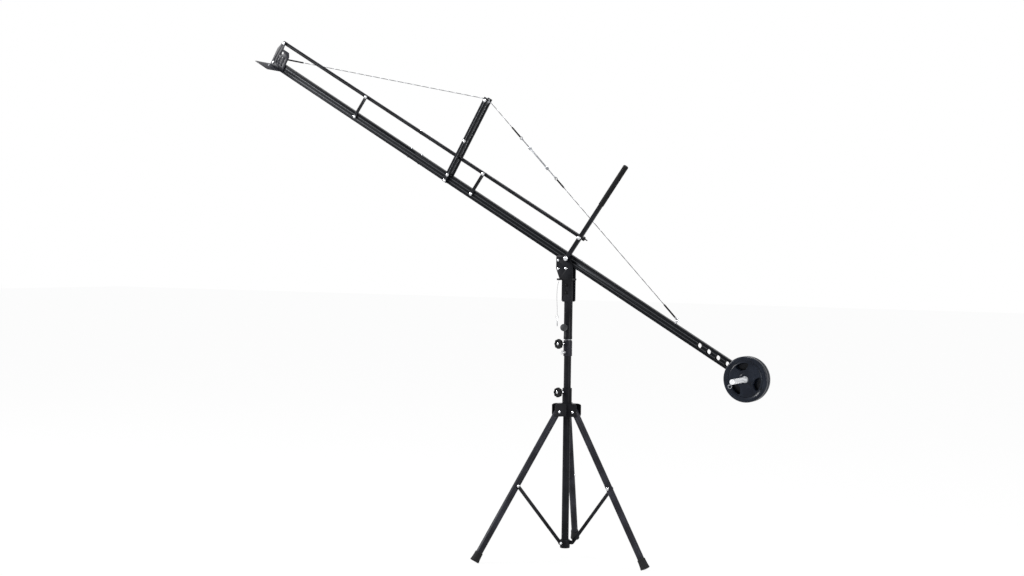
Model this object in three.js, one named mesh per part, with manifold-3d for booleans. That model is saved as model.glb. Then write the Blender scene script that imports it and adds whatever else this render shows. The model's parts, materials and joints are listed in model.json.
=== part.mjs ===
// Camera jib crane: a folding tripod stand, a turning saddle and a balanced boom.
// The boom carries a tilting camera head at its front and weight plates at its tail.
// Millimetres, +Z up. The boom lies in the XZ plane with its camera end toward -X.

import * as THREE from 'three';
import { mergeVertices } from 'three/addons/utils/BufferGeometryUtils.js';
import Module from 'manifold-3d';

const wasm = await Module();
wasm.setup();

// Fits and facets
const fitGap = 0.3;
const linkGap = 0.4;
const overrun = 6;
const roundFacets = 20;
const boltFacets = 12;
const ringFacets = 10;
const ringTubeFacets = 5;
const plateFacets = 24;
const tubeFacets = 16;
const ballRows = 8;
const nutFacets = 6;
const arcFacets = 4;

// Stand: three legs on a sliding crown, braced to a hub at the foot of the column
const legCount = 3;
const firstLegAzimuth = -10;
const footCircleRadius = 510;
const legPinDrop = 800;
const legPinRadius = 52;
const legRadius = 17.5;
const legWall = 1.8;
const legTopReach = 10;
const footRubber = 22;
const footLength = 62;
const footTopRadius = 21;
const footFlareRadius = 25;
const footTread = 5;
const footEndRound = 3;
const footFlareShare = 0.7;
const jointPinRadius = 4;
const rivetHeadRadius = 7.5;
const rivetHeadHeight = 4;

const braceReach = 440;
const braceWidth = 18;
const braceThickness = 5;
const braceSideGap = 0.8;
const hubPinRadius = 34;
const hubPinHeight = 78;
const hubRadius = 26;
const hubBottom = 49;
const hubFloor = 6;
const hubHeight = 43;
const lugThickness = 6;
const lugReach = 10;

const crownDepth = 25;
const crownPlateRise = 43;
const crownRise = 122;
const crownSleeveRadius = 25;
const crownReach = 76;
const crownWaistReach = 56;
const cheekThickness = 3.5;
const cheekGap = 0.8;
const crownKnobDrop = 20;

// Column: outer tube, riser inside it, and the turning sleeve on the riser's spigot
const columnRadius = 19;
const columnWall = 3;
const riserRadius = 15.5;
const riserBore = 12.5;
const riserOverlap = 615;
const spigotRadius = 20;
const spigotLength = 228;
const riserCollarLength = 83;
const riserCollarLip = 4;
const riserCollarRadius = 23;
const riserKnobDrop = 18;
const plungerRise = 21;
const riserCollarGap = 3;
const sleeveRadius = 22.7;
const sleeveLength = 308;
const sleeveFootGap = 2;
const panKnobRise = 62;

// Clamping knobs
const studRadius = 4;
const bossRadius = 9;
const bossReach = 9;
const lobeCount = 6;
const lobeKnobRadius = 26;
const lobeDepth = 2.6;
const lobeSteps = 4;
const lobeKnobThickness = 17;
const lobeKnobDistance = 58;
const lobeHubRadius = 12;
const ballRadius = 19.4;
const ballDistance = 46;
const clampAzimuth = -109;
const ballAzimuth = -92;
const plungerAzimuth = -96;
const plungerPinRadius = 3.2;
const plungerBodyRadius = 6.5;
const plungerHeadReach = 21;
const plungerRingRadius = 9;
const plungerRingWire = 1.4;

// Saddle: an H shaped bracket whose ears carry the tilt bolt
const tiltHeight = 1566;
const tiltRise = 114;
const boomSlope = 30;
const saddleWidth = 54;
const saddlePlate = 5;
const saddlePlateLength = 112;
const saddleBaseThickness = 9;
const saddleBaseFront = 42;
const saddleBaseRear = 31;
const earGap = 15.5;
const earFront = 65;
const earTop = 14;
const earBevelHeight = 53;
const earRearStep = 40;
const saddleBoltDrops = [65, 24];
const saddleBoltRadius = 4;
const saddleBoltHead = 8;
const saddleBoltHeadHeight = 6;
const earHoleRadius = 4.5;
const earHoles = [[-54, -10], [-54, -55], [-8, -52]];
const tiltBoltRadius = 6;
const tiltBoltHead = 12.5;
const tiltBoltHeadHeight = 9;

// Boom: three sections of one grooved extrusion, spliced end to end
const boomHeight = 50.8;
const boomWidth = 25.4;
const boomWall = 2.2;
const boomCorner = 2;
const grooveDepth = 1;
const grooveWidth = 4;
const grooveOffset = 8.5;
const sectionLength = 1134;
const rearSectionLength = 1154;
const rearSplicePlace = 29;
const spliceLength = 160;
const spliceBoltOffset = 38.5;
const spliceBoltRadius = 3.5;
const spliceHeadRadius = 6.5;
const spliceHeadHeight = 4;

// Tail: a row of holes, then the weight bar in a hole of its own, with two plates on it
const tailHoleCount = 5;
const firstTailHoleInset = 333;
const tailHolePitch = 57;
const barInset = 28;
const barRadius = 12.5;
const barHoleRadius = 13.4;
const barNearEnd = 252;
const barFarEnd = 24;
const barHeadRadius = 19;
const plateRadius = 113;
const plateThickness = 28;
const plateRimInner = 90;
const plateWeb = 13;
const plateHubRadius = 31;
const plateWindowInner = 44;
const plateWindowOuter = 84;
const plateWindowSpan = 57;
const plateWindowStarts = [45.5, -14.5];
const plateWindowCount = 3;
const plateWindowWaistShare = 0.2;
const plateBevel = 5;
const platePitchGap = 0.5;
const plateSeatGap = 1.8;
const clipRadius = 2.6;
const clipInset = 9;
const clipReach = 19;
const clipRingRadius = 9;
const clipRingWire = 1.6;

// Truss: a two bar mast and a steel cable over it, tightened by a turnbuckle
const mastFromSplice = 248;
const mastBarWidth = 25.4;
const mastBarThickness = 12.7;
const mastFoot = -25.4;
const mastTopReach = 16.3;
const mastFootBolts = [18, -18];
const mastMiddleBolt = 226;
const mastTopBolt = 473.7;
const mastBoltRadius = 4;
const mastBoltHead = 9;
const mastBoltHeadHeight = 5;
const mastSpacerRadius = 7;
const spoolRadius = 8;
const spoolRim = 12;
const spoolRimThickness = 3;
const cableRadius = 2;
const anchorInset = 49;
const anchorRise = 43;
const anchorHalfWidth = 12;
const anchorDrop = 20;
const anchorPlate = 4;
const anchorWasher = 2;
const anchorWasherRadius = 7;
const anchorHole = 5;
const anchorSlack = 1;
const anchorScrewRadius = 3;
const anchorScrewHead = 6;
const anchorScrewHeadHeight = 4;
const anchorScrews = [12, -12];
const rearEyeInset = 501;
const eyeRise = 45;
const eyeRingRadius = 8;
const eyeRingWire = 3;
const eyeShankRadius = 3.5;
const eyeNutRadius = 8;
const eyeNutHeight = 5;
const cableRingRadius = 7;
const cableRingWire = 2;
const cableSleeveRadius = 4.6;
const frontSleeve = 130;
const upperSleeve = 75;
const lowerSleeve = 60;
const tailSleeve = 90;
const turnbucklePlace = 366;
const turnbuckleLength = 164;
const turnbuckleBoss = 18;
const turnbuckleBossRadius = 8;
const turnbuckleSideRadius = 2.6;
const turnbuckleShankRadius = 3;
const turnbuckleEyeReach = 60;
const upperEyePlace = 306.6;
const cableFall = 17;

// Tilt linkage: lever, control rod, two links and the camera head form a parallelogram
const linkLength = 130;
const linkLean = 5;
const rodRadius = 10;
const rodBore = 8;
const rodEndReach = 14;
const rodSpigot = 60;
const rodSpliceLead = 8;
const headInset = 17;
const linksFromSplice = [-454, 426];
const linkNames = ['link_front', 'link_rear'];
const linkWidth = 18;
const linkThickness = 6;
const linkNearFace = 20.5;
const linkHeadRadius = 9;
const linkHeadHeight = 5;
const linkNutRadius = 7.5;
const linkNutHeight = 5;
const linkSpacerRadius = 7;
const leverSide = 20;
const leverWall = 2;
const leverNearFace = 41.2;
const leverTop = 572;
const leverFoot = 16;
const gripStart = 337;
const gripRadius = 14.5;
const gripEnd = 8;
const wingHubRadius = 9;
const wingHubLength = 16;
const wingSpan = 46;
const wingThickness = 5;
const wingHeight = 13;

// Camera head: a perforated angle bracket on the boom's near side
const flangeRear = 86;
const flangeFront = 14;
const flangeRise = 98;
const flangeDrop = 14;
const flangePlate = 4;
const flangeNearFace = 18.5;
const flangeNeckWidth = 30;
const flangeShoulder = 76;
const flangeBigHole = 7.5;
const flangeBigHoleAt = [33, 77];
const flangeSmallHole = 3.4;
const flangeHolePitch = 21;
const flangeHoleColumns = 3;
const flangeHoleRows = 3;
const flangeFirstHole = [22, 12];
const platformReach = 158;
const slotCount = 3;
const slotWidth = 7;
const slotLength = 72;
const slotPitch = 34;
const slotMiddle = 92;
const headPivotRadius = 5;
const headPivotHead = 8;
const headPivotHeadHeight = 5;
const cameraStudRadius = 3.1;
const cameraStudRise = 9;
const cameraKnobRadius = 14;
const cameraKnobHeight = 12;

// Keeper: a steel lanyard hanging from the saddle with a spare pin at its end
const lanyardRadius = 0.9;
const lanyardTop = [-40, -34, 0];
const lanyardRoute = [[-46, -38, -32], [-50, -36, -82], [-49, -33, -142], [-48, -33, -182]];
const lanyardFacets = 6;
const lanyardSteps = 8;
const keeperPinRadius = 3;
const keeperPinLength = 42;
const keeperRingRadius = 8;
const keeperRingWire = 1.3;
const lanyardLugDepth = 8;
const lanyardLugLength = 16;

const degree = Math.PI / 180;
const fullTurn = 360;

// Heights that follow the tilt bolt
const legPinHeight = tiltHeight - legPinDrop;
const sleeveTop = tiltHeight - tiltRise;
const sleeveBottom = sleeveTop - sleeveLength;
const panKnobHeight = sleeveBottom + panKnobRise;
const saddlePlateBottom = sleeveTop - saddlePlateLength;
const saddleBoltHeights = saddleBoltDrops.map((drop) => sleeveTop - drop);
const spigotBottom = sleeveBottom - sleeveFootGap;
const spigotTop = spigotBottom + spigotLength;
const riserCollarTop = spigotBottom - riserCollarGap;
const riserCollarBottom = riserCollarTop - riserCollarLength;
const riserKnobHeight = riserCollarTop - riserKnobDrop;
const plungerHeight = riserCollarBottom + plungerRise;
const columnTop = riserCollarTop - riserCollarLip;
const riserBottom = columnTop - riserOverlap;
const crownBottom = legPinHeight - crownDepth;
const crownPlateTop = legPinHeight + crownPlateRise;
const crownTop = legPinHeight + crownRise;
const crownKnobHeight = crownTop - crownKnobDrop;

// Places along the boom, which follow its two splices and its ends
const frontSplicePlace = rearSplicePlace - sectionLength;
const boomFront = frontSplicePlace - sectionLength;
const boomTail = rearSplicePlace + rearSectionLength;
const barPlace = boomTail - barInset;
const firstTailHole = boomTail - firstTailHoleInset;
const rearEyePlace = boomTail - rearEyeInset;
const mastPlace = frontSplicePlace + mastFromSplice;
const rodSplicePlace = frontSplicePlace - rodSpliceLead;
const linkPlaces = linksFromSplice.map((offset) => frontSplicePlace + offset);
const headPlace = boomFront + headInset;
const anchorPlace = boomFront + anchorInset;

const blackPaint = new THREE.MeshStandardMaterial({ color: 0x1b1c20, roughness: 0.45, metalness: 0.4 });
const anodised = new THREE.MeshStandardMaterial({ color: 0x2e3034, roughness: 0.38, metalness: 0.7 });
const chrome = new THREE.MeshStandardMaterial({ color: 0xd8d9dc, roughness: 0.18, metalness: 1 });
const blackPlastic = new THREE.MeshStandardMaterial({ color: 0x131416, roughness: 0.55, metalness: 0 });
const rubber = new THREE.MeshStandardMaterial({ color: 0x1a1b1d, roughness: 0.85, metalness: 0 });
const ironPlate = new THREE.MeshStandardMaterial({ color: 0x29323d, roughness: 0.6, metalness: 0.1 });
const steel = new THREE.MeshStandardMaterial({ color: 0x9b9da1, roughness: 0.35, metalness: 0.9 });

// Solids: three.js geometry in, one closed body out

function toSolid(geometry) {
  const bare = geometry.clone();
  bare.deleteAttribute('normal');
  bare.deleteAttribute('uv');
  const merged = mergeVertices(bare);
  const index = merged.index.array;
  const corners = [];
  for (let i = 0; i < index.length; i += 3) {
    const [a, b, c] = [index[i], index[i + 1], index[i + 2]];
    if (a !== b && b !== c && c !== a) corners.push(a, b, c);
  }
  return new wasm.Manifold(new wasm.Mesh({
    numProp: 3,
    vertProperties: new Float32Array(merged.attributes.position.array),
    triVerts: new Uint32Array(corners),
  }));
}

function toGeometry(solid) {
  const { vertProperties, triVerts } = solid.getMesh();
  const geometry = new THREE.BufferGeometry();
  geometry.setAttribute('position', new THREE.BufferAttribute(new Float32Array(vertProperties), 3));
  geometry.setIndex(new THREE.BufferAttribute(new Uint32Array(triVerts), 1));
  geometry.computeVertexNormals();
  return geometry;
}

function join(...pieces) {
  return toGeometry(pieces.map(toSolid).reduce((whole, piece) => whole.add(piece)));
}

function cut(body, ...tools) {
  return toGeometry(tools.map(toSolid).reduce((rest, tool) => rest.subtract(tool), toSolid(body)));
}

// A block between two corners
function block(x0, x1, y0, y1, z0, z1) {
  const box = new THREE.BoxGeometry(x1 - x0, y1 - y0, z1 - z0);
  return box.translate((x0 + x1) / 2, (y0 + y1) / 2, (z0 + z1) / 2);
}

// Round bars between two places along one axis, centred on the origin across it
function barX(radius, x0, x1, facets = boltFacets) {
  const bar = new THREE.CylinderGeometry(radius, radius, x1 - x0, facets);
  return bar.rotateZ(-Math.PI / 2).translate((x0 + x1) / 2, 0, 0);
}

function barY(radius, y0, y1, facets = boltFacets) {
  return new THREE.CylinderGeometry(radius, radius, y1 - y0, facets).translate(0, (y0 + y1) / 2, 0);
}

function barZ(radius, z0, z1, facets = roundFacets) {
  const bar = new THREE.CylinderGeometry(radius, radius, z1 - z0, facets);
  return bar.rotateX(Math.PI / 2).translate(0, 0, (z0 + z1) / 2);
}

// A turned body about Z from a profile of [radius, height] points
function turned(profile, facets = roundFacets) {
  const points = profile.map(([radius, height]) => new THREE.Vector2(radius, height));
  return new THREE.LatheGeometry(points, facets).rotateX(Math.PI / 2);
}

// An outline drawn in X and Z, thickened along Y between two faces
function slab(shape, y0, y1) {
  const options = { depth: y1 - y0, bevelEnabled: false, curveSegments: arcFacets };
  return new THREE.ExtrudeGeometry(shape, options).rotateX(Math.PI / 2).translate(0, y1, 0);
}

function polygon(points) {
  return new THREE.Shape(points.map(([x, z]) => new THREE.Vector2(x, z)));
}

// A flat bar with round ends between (0, 0) and (0, length), in X and Z
function roundBar(width, from, to) {
  const shape = new THREE.Shape();
  shape.absarc(0, to, width / 2, 0, Math.PI, false);
  shape.absarc(0, from, width / 2, Math.PI, 2 * Math.PI, false);
  return shape;
}

// A ring of round wire about the Y axis
function ring(radius, wire) {
  return new THREE.TorusGeometry(radius, wire, ringTubeFacets, ringFacets).rotateX(Math.PI / 2);
}

function piece(name, geometry, material, parent) {
  const mesh = new THREE.Mesh(geometry, material);
  mesh.name = name;
  parent.add(mesh);
  return mesh;
}

function frame(parent, name, x, y, z) {
  const group = new THREE.Group();
  group.name = name;
  group.position.set(x, y, z);
  parent.add(group);
  return group;
}

// Stand

const splay = Math.atan2(footCircleRadius - legPinRadius, legPinHeight);
const legAxisLength = Math.hypot(footCircleRadius - legPinRadius, legPinHeight);
const footEndRise = (footFlareRadius * Math.sin(splay) - footTread) / Math.cos(splay);
const braceTopRadius = legPinRadius + braceReach * Math.sin(splay);
const braceTopHeight = legPinHeight - braceReach * Math.cos(splay);
const braceLength = Math.hypot(braceTopRadius - hubPinRadius, braceTopHeight - hubPinHeight);
const braceSlope = Math.atan2(braceTopRadius - hubPinRadius, braceTopHeight - hubPinHeight);
const braceInner = legRadius + braceSideGap;

function leg() {
  const tubeEnd = legAxisLength - footRubber;
  const tube = cut(
    barZ(legRadius, -tubeEnd, legTopReach, tubeFacets),
    barZ(legRadius - legWall, -tubeEnd - overrun, legTopReach + overrun, tubeFacets),
  );
  const pinHole = barY(jointPinRadius + fitGap, -legRadius - overrun, legRadius + overrun);
  return cut(tube, pinHole, pinHole.clone().translate(0, 0, -braceReach));
}

function foot() {
  const top = footLength - legAxisLength;
  const socketFloor = footRubber - legAxisLength - fitGap;
  const bottom = footEndRise - legAxisLength;
  const flareStart = top - (top - bottom) * footFlareShare;
  const body = turned([
    [0, bottom], [footFlareRadius - footEndRound, bottom], [footFlareRadius, bottom + footEndRound],
    [footTopRadius, flareStart], [footTopRadius, top], [0, top],
  ], tubeFacets);
  const socket = barZ(legRadius + fitGap, socketFloor, top + overrun, tubeFacets);
  const standing = cut(body, socket).rotateY(-splay).translate(legPinRadius, 0, legPinHeight);
  const reach = footCircleRadius + 2 * footFlareRadius + overrun;
  const floor = block(0, reach, -reach, reach, -reach, 0);
  return cut(standing, floor).translate(-legPinRadius, 0, -legPinHeight).rotateY(splay);
}

function brace() {
  const outer = braceInner + braceThickness;
  const bar = slab(roundBar(braceWidth, -braceLength, 0), braceInner, outer);
  const far = -legRadius - fitGap;
  const pin = barY(jointPinRadius, far - rivetHeadHeight / 2, outer);
  const heads = [
    barY(rivetHeadRadius, outer - fitGap, outer + rivetHeadHeight),
    barY(rivetHeadRadius, far - rivetHeadHeight, far),
    barY(rivetHeadRadius, outer - fitGap, outer + rivetHeadHeight).translate(0, 0, -braceLength),
  ];
  return join(bar, pin, ...heads);
}

function legCrown() {
  const sleeve = barZ(crownSleeveRadius, crownBottom, crownTop);
  const inner = legRadius + cheekGap;
  const outer = inner + cheekThickness;
  const outline = new THREE.Shape();
  outline.moveTo(0, crownBottom);
  outline.lineTo(crownWaistReach, crownBottom);
  outline.quadraticCurveTo(crownReach, crownBottom, crownReach, legPinHeight);
  outline.lineTo(crownReach, crownPlateTop - rivetHeadRadius);
  outline.lineTo(crownWaistReach, crownPlateTop);
  outline.lineTo(0, crownPlateTop);
  const parts = [sleeve];
  for (let i = 0; i < legCount; i += 1) {
    const turn = (firstLegAzimuth + (fullTurn * i) / legCount) * degree;
    const cheeks = [slab(outline, inner, outer), slab(outline, -outer, -inner)];
    const web = block(0, crownWaistReach, -outer, outer, crownPlateTop - cheekThickness, crownPlateTop);
    const pin = barY(jointPinRadius, -outer, outer);
    const heads = [
      barY(rivetHeadRadius, outer - fitGap, outer + rivetHeadHeight),
      barY(rivetHeadRadius, -outer - rivetHeadHeight, fitGap - outer),
    ];
    const atPin = [pin, ...heads].map((part) => part.translate(legPinRadius, 0, legPinHeight));
    for (const part of [...cheeks, web, ...atPin]) parts.push(part.rotateZ(turn));
  }
  const boss = barX(bossRadius, 0, crownSleeveRadius + bossReach).translate(0, 0, crownKnobHeight);
  parts.push(boss.rotateZ(clampAzimuth * degree));
  const bore = barZ(columnRadius + fitGap, crownBottom - overrun, crownTop + overrun);
  const thread = barX(studRadius + fitGap, 0, crownSleeveRadius + bossReach + overrun);
  return cut(join(...parts), bore, thread.translate(0, 0, crownKnobHeight).rotateZ(clampAzimuth * degree));
}

function baseHub() {
  const top = hubBottom + hubHeight;
  const parts = [barZ(hubRadius, hubBottom, top)];
  const outer = braceInner - linkGap;
  for (let i = 0; i < legCount; i += 1) {
    const lug = roundBar(2 * lugReach, 0, 0);
    const ear = slab(lug, outer - lugThickness, outer).translate(hubPinRadius, 0, hubPinHeight);
    const [low, high] = [hubPinHeight - lugReach, hubPinHeight + lugReach];
    const root = block(0, hubPinRadius, outer - lugThickness, outer, low, high);
    const turn = (firstLegAzimuth + (fullTurn * i) / legCount) * degree;
    parts.push(ear.rotateZ(turn), root.rotateZ(turn));
  }
  return cut(join(...parts), barZ(columnRadius + fitGap, hubBottom + hubFloor, top + overrun));
}

// A knob on a stud that points along +X, its stud tip at tipRadius from the column's axis
function lobedKnob(tipRadius) {
  const outline = new THREE.Shape();
  const steps = lobeCount * lobeSteps;
  for (let i = 0; i < steps; i += 1) {
    const angle = (2 * Math.PI * i) / steps;
    const radius = lobeKnobRadius - lobeDepth + lobeDepth * Math.cos(lobeCount * angle);
    const point = new THREE.Vector2(radius * Math.cos(angle), radius * Math.sin(angle));
    if (i === 0) outline.moveTo(point.x, point.y);
    else outline.lineTo(point.x, point.y);
  }
  const head = new THREE.ExtrudeGeometry(outline, { depth: lobeKnobThickness, bevelEnabled: false });
  head.rotateY(Math.PI / 2).translate(lobeKnobDistance, 0, 0);
  const neckStart = lobeKnobDistance - lobeKnobThickness / 2;
  const neck = barX(lobeHubRadius, neckStart, lobeKnobDistance + overrun, tubeFacets);
  return join(head, neck, barX(studRadius, tipRadius, lobeKnobDistance));
}

function ballKnob() {
  const ball = new THREE.SphereGeometry(ballRadius, roundFacets, ballRows).translate(ballDistance, 0, 0);
  return join(ball, barX(studRadius, spigotRadius + fitGap, ballDistance));
}

function clampFrame(parent, name, height, azimuth) {
  const group = frame(parent, name, 0, 0, height);
  group.rotation.z = azimuth * degree;
  return group;
}

// Column

function outerTube() {
  const bottom = hubBottom + hubFloor + fitGap;
  const tube = cut(
    barZ(columnRadius, bottom, columnTop),
    barZ(columnRadius - columnWall, bottom - overrun, columnTop + overrun),
  );
  const knobHole = barX(studRadius + fitGap, 0, columnRadius + overrun).translate(0, 0, riserKnobHeight);
  const pinHole = barX(plungerPinRadius + fitGap, 0, columnRadius + overrun).translate(0, 0, plungerHeight);
  return cut(tube, knobHole.rotateZ(clampAzimuth * degree), pinHole.rotateZ(plungerAzimuth * degree));
}

function riserCollar() {
  const boss = barX(bossRadius, 0, riserCollarRadius + bossReach).translate(0, 0, riserKnobHeight);
  const socket = barX(bossRadius, 0, riserCollarRadius + bossReach / 2).translate(0, 0, plungerHeight);
  const body = join(
    barZ(riserCollarRadius, riserCollarBottom, riserCollarTop),
    boss.rotateZ(clampAzimuth * degree),
    socket.rotateZ(plungerAzimuth * degree),
  );
  const reach = riserCollarRadius + bossReach + overrun;
  const thread = barX(studRadius + fitGap, 0, reach).translate(0, 0, riserKnobHeight);
  const pinHole = barX(plungerPinRadius + fitGap, 0, reach).translate(0, 0, plungerHeight);
  return cut(
    body,
    barZ(columnRadius + fitGap, riserCollarBottom - overrun, columnTop + fitGap),
    barZ(riserRadius + fitGap, columnTop, riserCollarTop + overrun),
    thread.rotateZ(clampAzimuth * degree),
    pinHole.rotateZ(plungerAzimuth * degree),
  );
}

function lockingPlunger() {
  const start = riserCollarRadius + bossReach / 2 + fitGap;
  const pin = barX(plungerPinRadius, riserRadius + fitGap, start + overrun);
  const body = barX(plungerBodyRadius, start, start + plungerHeadReach);
  const pull = ring(plungerRingRadius, plungerRingWire);
  const ringCentre = start + plungerHeadReach + plungerRingRadius - plungerRingWire;
  return join(pin, body, pull.translate(ringCentre, 0, 0));
}

function riserTube() {
  const wall = riserRadius - riserBore;
  return turned([
    [riserBore, riserBottom], [riserRadius, riserBottom], [riserRadius, spigotBottom],
    [spigotRadius, spigotBottom], [spigotRadius, spigotTop], [0, spigotTop],
    [0, spigotTop - wall], [riserBore, spigotTop - wall], [riserBore, riserBottom],
  ]);
}

function panSleeve() {
  const bore = barZ(spigotRadius + fitGap, sleeveBottom - overrun, spigotTop + fitGap);
  const thread = barX(studRadius + fitGap, 0, sleeveRadius + overrun).translate(0, 0, panKnobHeight);
  const holes = saddleBoltHeights.map((height) => {
    const hole = barY(saddleBoltRadius + fitGap, -sleeveRadius - overrun, sleeveRadius + overrun);
    return hole.translate(0, 0, height);
  });
  const body = barZ(sleeveRadius, sleeveBottom, sleeveTop);
  return cut(body, bore, thread.rotateZ(ballAzimuth * degree), ...holes);
}

// Saddle

const sleevePlateInner = sleeveRadius + fitGap;
const sleevePlateOuter = sleevePlateInner + saddlePlate;
const saddleBaseBottom = sleeveTop + fitGap;
const saddleBaseTop = saddleBaseBottom + saddleBaseThickness;

function saddleBracket() {
  const half = saddleWidth / 2;
  const base = block(
    -saddleBaseFront, saddleBaseRear, -sleevePlateOuter, sleevePlateOuter, saddleBaseBottom, saddleBaseTop,
  );
  const parts = [base];
  const ear = polygon([
    [-earFront, tiltHeight + earTop], [-earFront, tiltHeight - earBevelHeight],
    [-saddleBaseFront, saddleBaseBottom], [saddleBaseRear, saddleBaseBottom],
    [saddleBaseRear, tiltHeight - earRearStep], [earTop, tiltHeight + earTop],
  ]);
  const tools = [];
  for (const side of [-1, 1]) {
    const plate = [side * sleevePlateInner, side * sleevePlateOuter].sort((a, b) => a - b);
    const cheek = [side * earGap, side * (earGap + saddlePlate)].sort((a, b) => a - b);
    parts.push(block(-half, half, ...plate, saddlePlateBottom, saddleBaseTop));
    parts.push(slab(ear, ...cheek));
  }
  const reach = sleevePlateOuter + overrun;
  for (const height of saddleBoltHeights) {
    tools.push(barY(saddleBoltRadius + fitGap, -reach, reach).translate(0, 0, height));
  }
  for (const [x, z] of earHoles) {
    tools.push(barY(earHoleRadius, -reach, reach).translate(x, 0, tiltHeight + z));
  }
  tools.push(barY(tiltBoltRadius + fitGap, -reach, reach).translate(0, 0, tiltHeight));
  const lug = block(
    lanyardTop[0] - lanyardLugDepth, lanyardTop[0] + lanyardLugDepth,
    -sleevePlateOuter - lanyardLugLength, -sleevePlateInner, saddleBaseBottom, saddleBaseTop,
  );
  return cut(join(...parts, lug), ...tools);
}

// A bolt along Y with a head at its near end and a nut at its far end
function throughBolt(radius, head, headHeight, nearFace, farFace) {
  return join(
    barY(radius, -nearFace - headHeight / 2, farFace + headHeight / 2),
    barY(head, -nearFace - headHeight, -nearFace),
    barY(head, farFace, farFace + headHeight, nutFacets),
  );
}

function saddleBolt(height) {
  const face = sleevePlateOuter + fitGap;
  const bolt = throughBolt(saddleBoltRadius, saddleBoltHead, saddleBoltHeadHeight, face, face);
  return bolt.translate(0, 0, height);
}

// Boom, in its own frame: X runs to the tail, Z is square to the boom

function groovedOutline(height, width, corner) {
  const [h, w] = [height / 2, width / 2];
  const half = grooveWidth / 2;
  const side = (sign) => [
    [-sign * h + sign * corner, sign * w],
    [sign * (-grooveOffset - half), sign * w],
    [sign * -grooveOffset, sign * (w - grooveDepth)],
    [sign * (-grooveOffset + half), sign * w],
    [sign * (grooveOffset - half), sign * w],
    [sign * grooveOffset, sign * (w - grooveDepth)],
    [sign * (grooveOffset + half), sign * w],
    [sign * h - sign * corner, sign * w],
    [sign * h, sign * (w - corner)],
    [sign * h, sign * (corner - w)],
  ];
  return polygon([...side(1), ...side(-1)]);
}

// The outline's first axis becomes Z and its second Y, and it runs along X
function alongX(shape, x0, x1) {
  const run = new THREE.ExtrudeGeometry(shape, { depth: x1 - x0, bevelEnabled: false });
  return run.rotateY(Math.PI / 2).translate(x0, 0, 0);
}

function alongZ(shape, z0, z1) {
  const run = new THREE.ExtrudeGeometry(shape, { depth: z1 - z0, bevelEnabled: false });
  return run.translate(0, 0, z0);
}

const boomSide = boomWidth / 2;
const boomTop = boomHeight / 2;
const cavityHalfHeight = boomTop - boomWall;
const cavityHalfWidth = boomSide - boomWall;
const spliceAt = [frontSplicePlace, rearSplicePlace];

function crossHole(radius, x, z, facets = boltFacets) {
  const reach = boomSide + mastBarThickness + overrun;
  return barY(radius, -reach, reach, facets).translate(x, 0, z);
}

function pinHoles() {
  const holes = [
    crossHole(tiltBoltRadius + fitGap, 0, 0),
    crossHole(headPivotRadius + fitGap, headPlace, 0),
    crossHole(barHoleRadius, barPlace, 0, tubeFacets),
  ];
  for (const place of linkPlaces) holes.push(crossHole(jointPinRadius + fitGap, place, 0));
  for (const height of mastFootBolts) holes.push(crossHole(mastBoltRadius + fitGap, mastPlace, height));
  for (let i = 0; i < tailHoleCount; i += 1) {
    holes.push(crossHole(barHoleRadius, firstTailHole + i * tailHolePitch, 0, tubeFacets));
  }
  for (const height of anchorScrews) {
    holes.push(barY(anchorScrewRadius + fitGap, 0, boomSide + overrun).translate(anchorPlace, 0, height));
  }
  holes.push(barZ(eyeShankRadius + fitGap, 0, boomTop + overrun, boltFacets).translate(rearEyePlace, 0, 0));
  return holes;
}

function spliceHoles() {
  const places = spliceAt.flatMap((place) => [place - spliceBoltOffset, place + spliceBoltOffset]);
  const reach = boomTop + overrun;
  return places.map((place) => {
    return barZ(spliceBoltRadius + fitGap, -reach, reach, boltFacets).translate(place, 0, 0);
  });
}

function boomSection(x0, x1) {
  const outer = alongX(groovedOutline(boomHeight, boomWidth, boomCorner), x0, x1);
  const cavity = block(
    x0 - overrun, x1 + overrun, -cavityHalfWidth, cavityHalfWidth, -cavityHalfHeight, cavityHalfHeight,
  );
  return cut(outer, cavity, ...pinHoles(), ...spliceHoles());
}

function spliceBolt(place) {
  const face = boomTop + fitGap;
  return [
    barZ(spliceBoltRadius, -face - spliceHeadHeight / 2, face + spliceHeadHeight / 2, boltFacets),
    barZ(spliceHeadRadius, face, face + spliceHeadHeight, boltFacets),
    barZ(spliceHeadRadius, -face - spliceHeadHeight, -face, nutFacets),
  ].map((part) => part.translate(place, 0, 0));
}

// The bar inside a splice, with the two bolts that clamp a section to each of its ends
function spliceInsert(place) {
  const half = spliceLength / 2;
  const [w, h] = [cavityHalfWidth - fitGap, cavityHalfHeight - fitGap];
  const bar = cut(block(place - half, place + half, -w, w, -h, h), ...pinHoles());
  return join(bar, ...spliceBolt(place - spliceBoltOffset), ...spliceBolt(place + spliceBoltOffset));
}

// Tail

function weightBar() {
  const collar = boomSide + fitGap;
  const shaft = barY(barRadius, -barNearEnd, barFarEnd, roundFacets);
  const head = barY(barHeadRadius, collar, barFarEnd, roundFacets);
  const clipHole = barZ(clipRadius + fitGap, -2 * barRadius, 2 * barRadius, boltFacets);
  return cut(join(shaft, head), clipHole.translate(0, clipInset - barNearEnd, 0)).translate(barPlace, 0, 0);
}

// One window between two spokes, drawn in X and Z with rounded corners
function plateWindow(turn) {
  const shape = new THREE.Shape();
  const [from, to] = [turn, turn + plateWindowSpan * degree];
  const inset = (to - from) * plateWindowWaistShare;
  shape.absarc(0, 0, plateWindowOuter, from, to, false);
  shape.absarc(0, 0, plateWindowInner, to - inset, from + inset, true);
  return slab(shape, -plateThickness, plateThickness);
}

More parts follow.
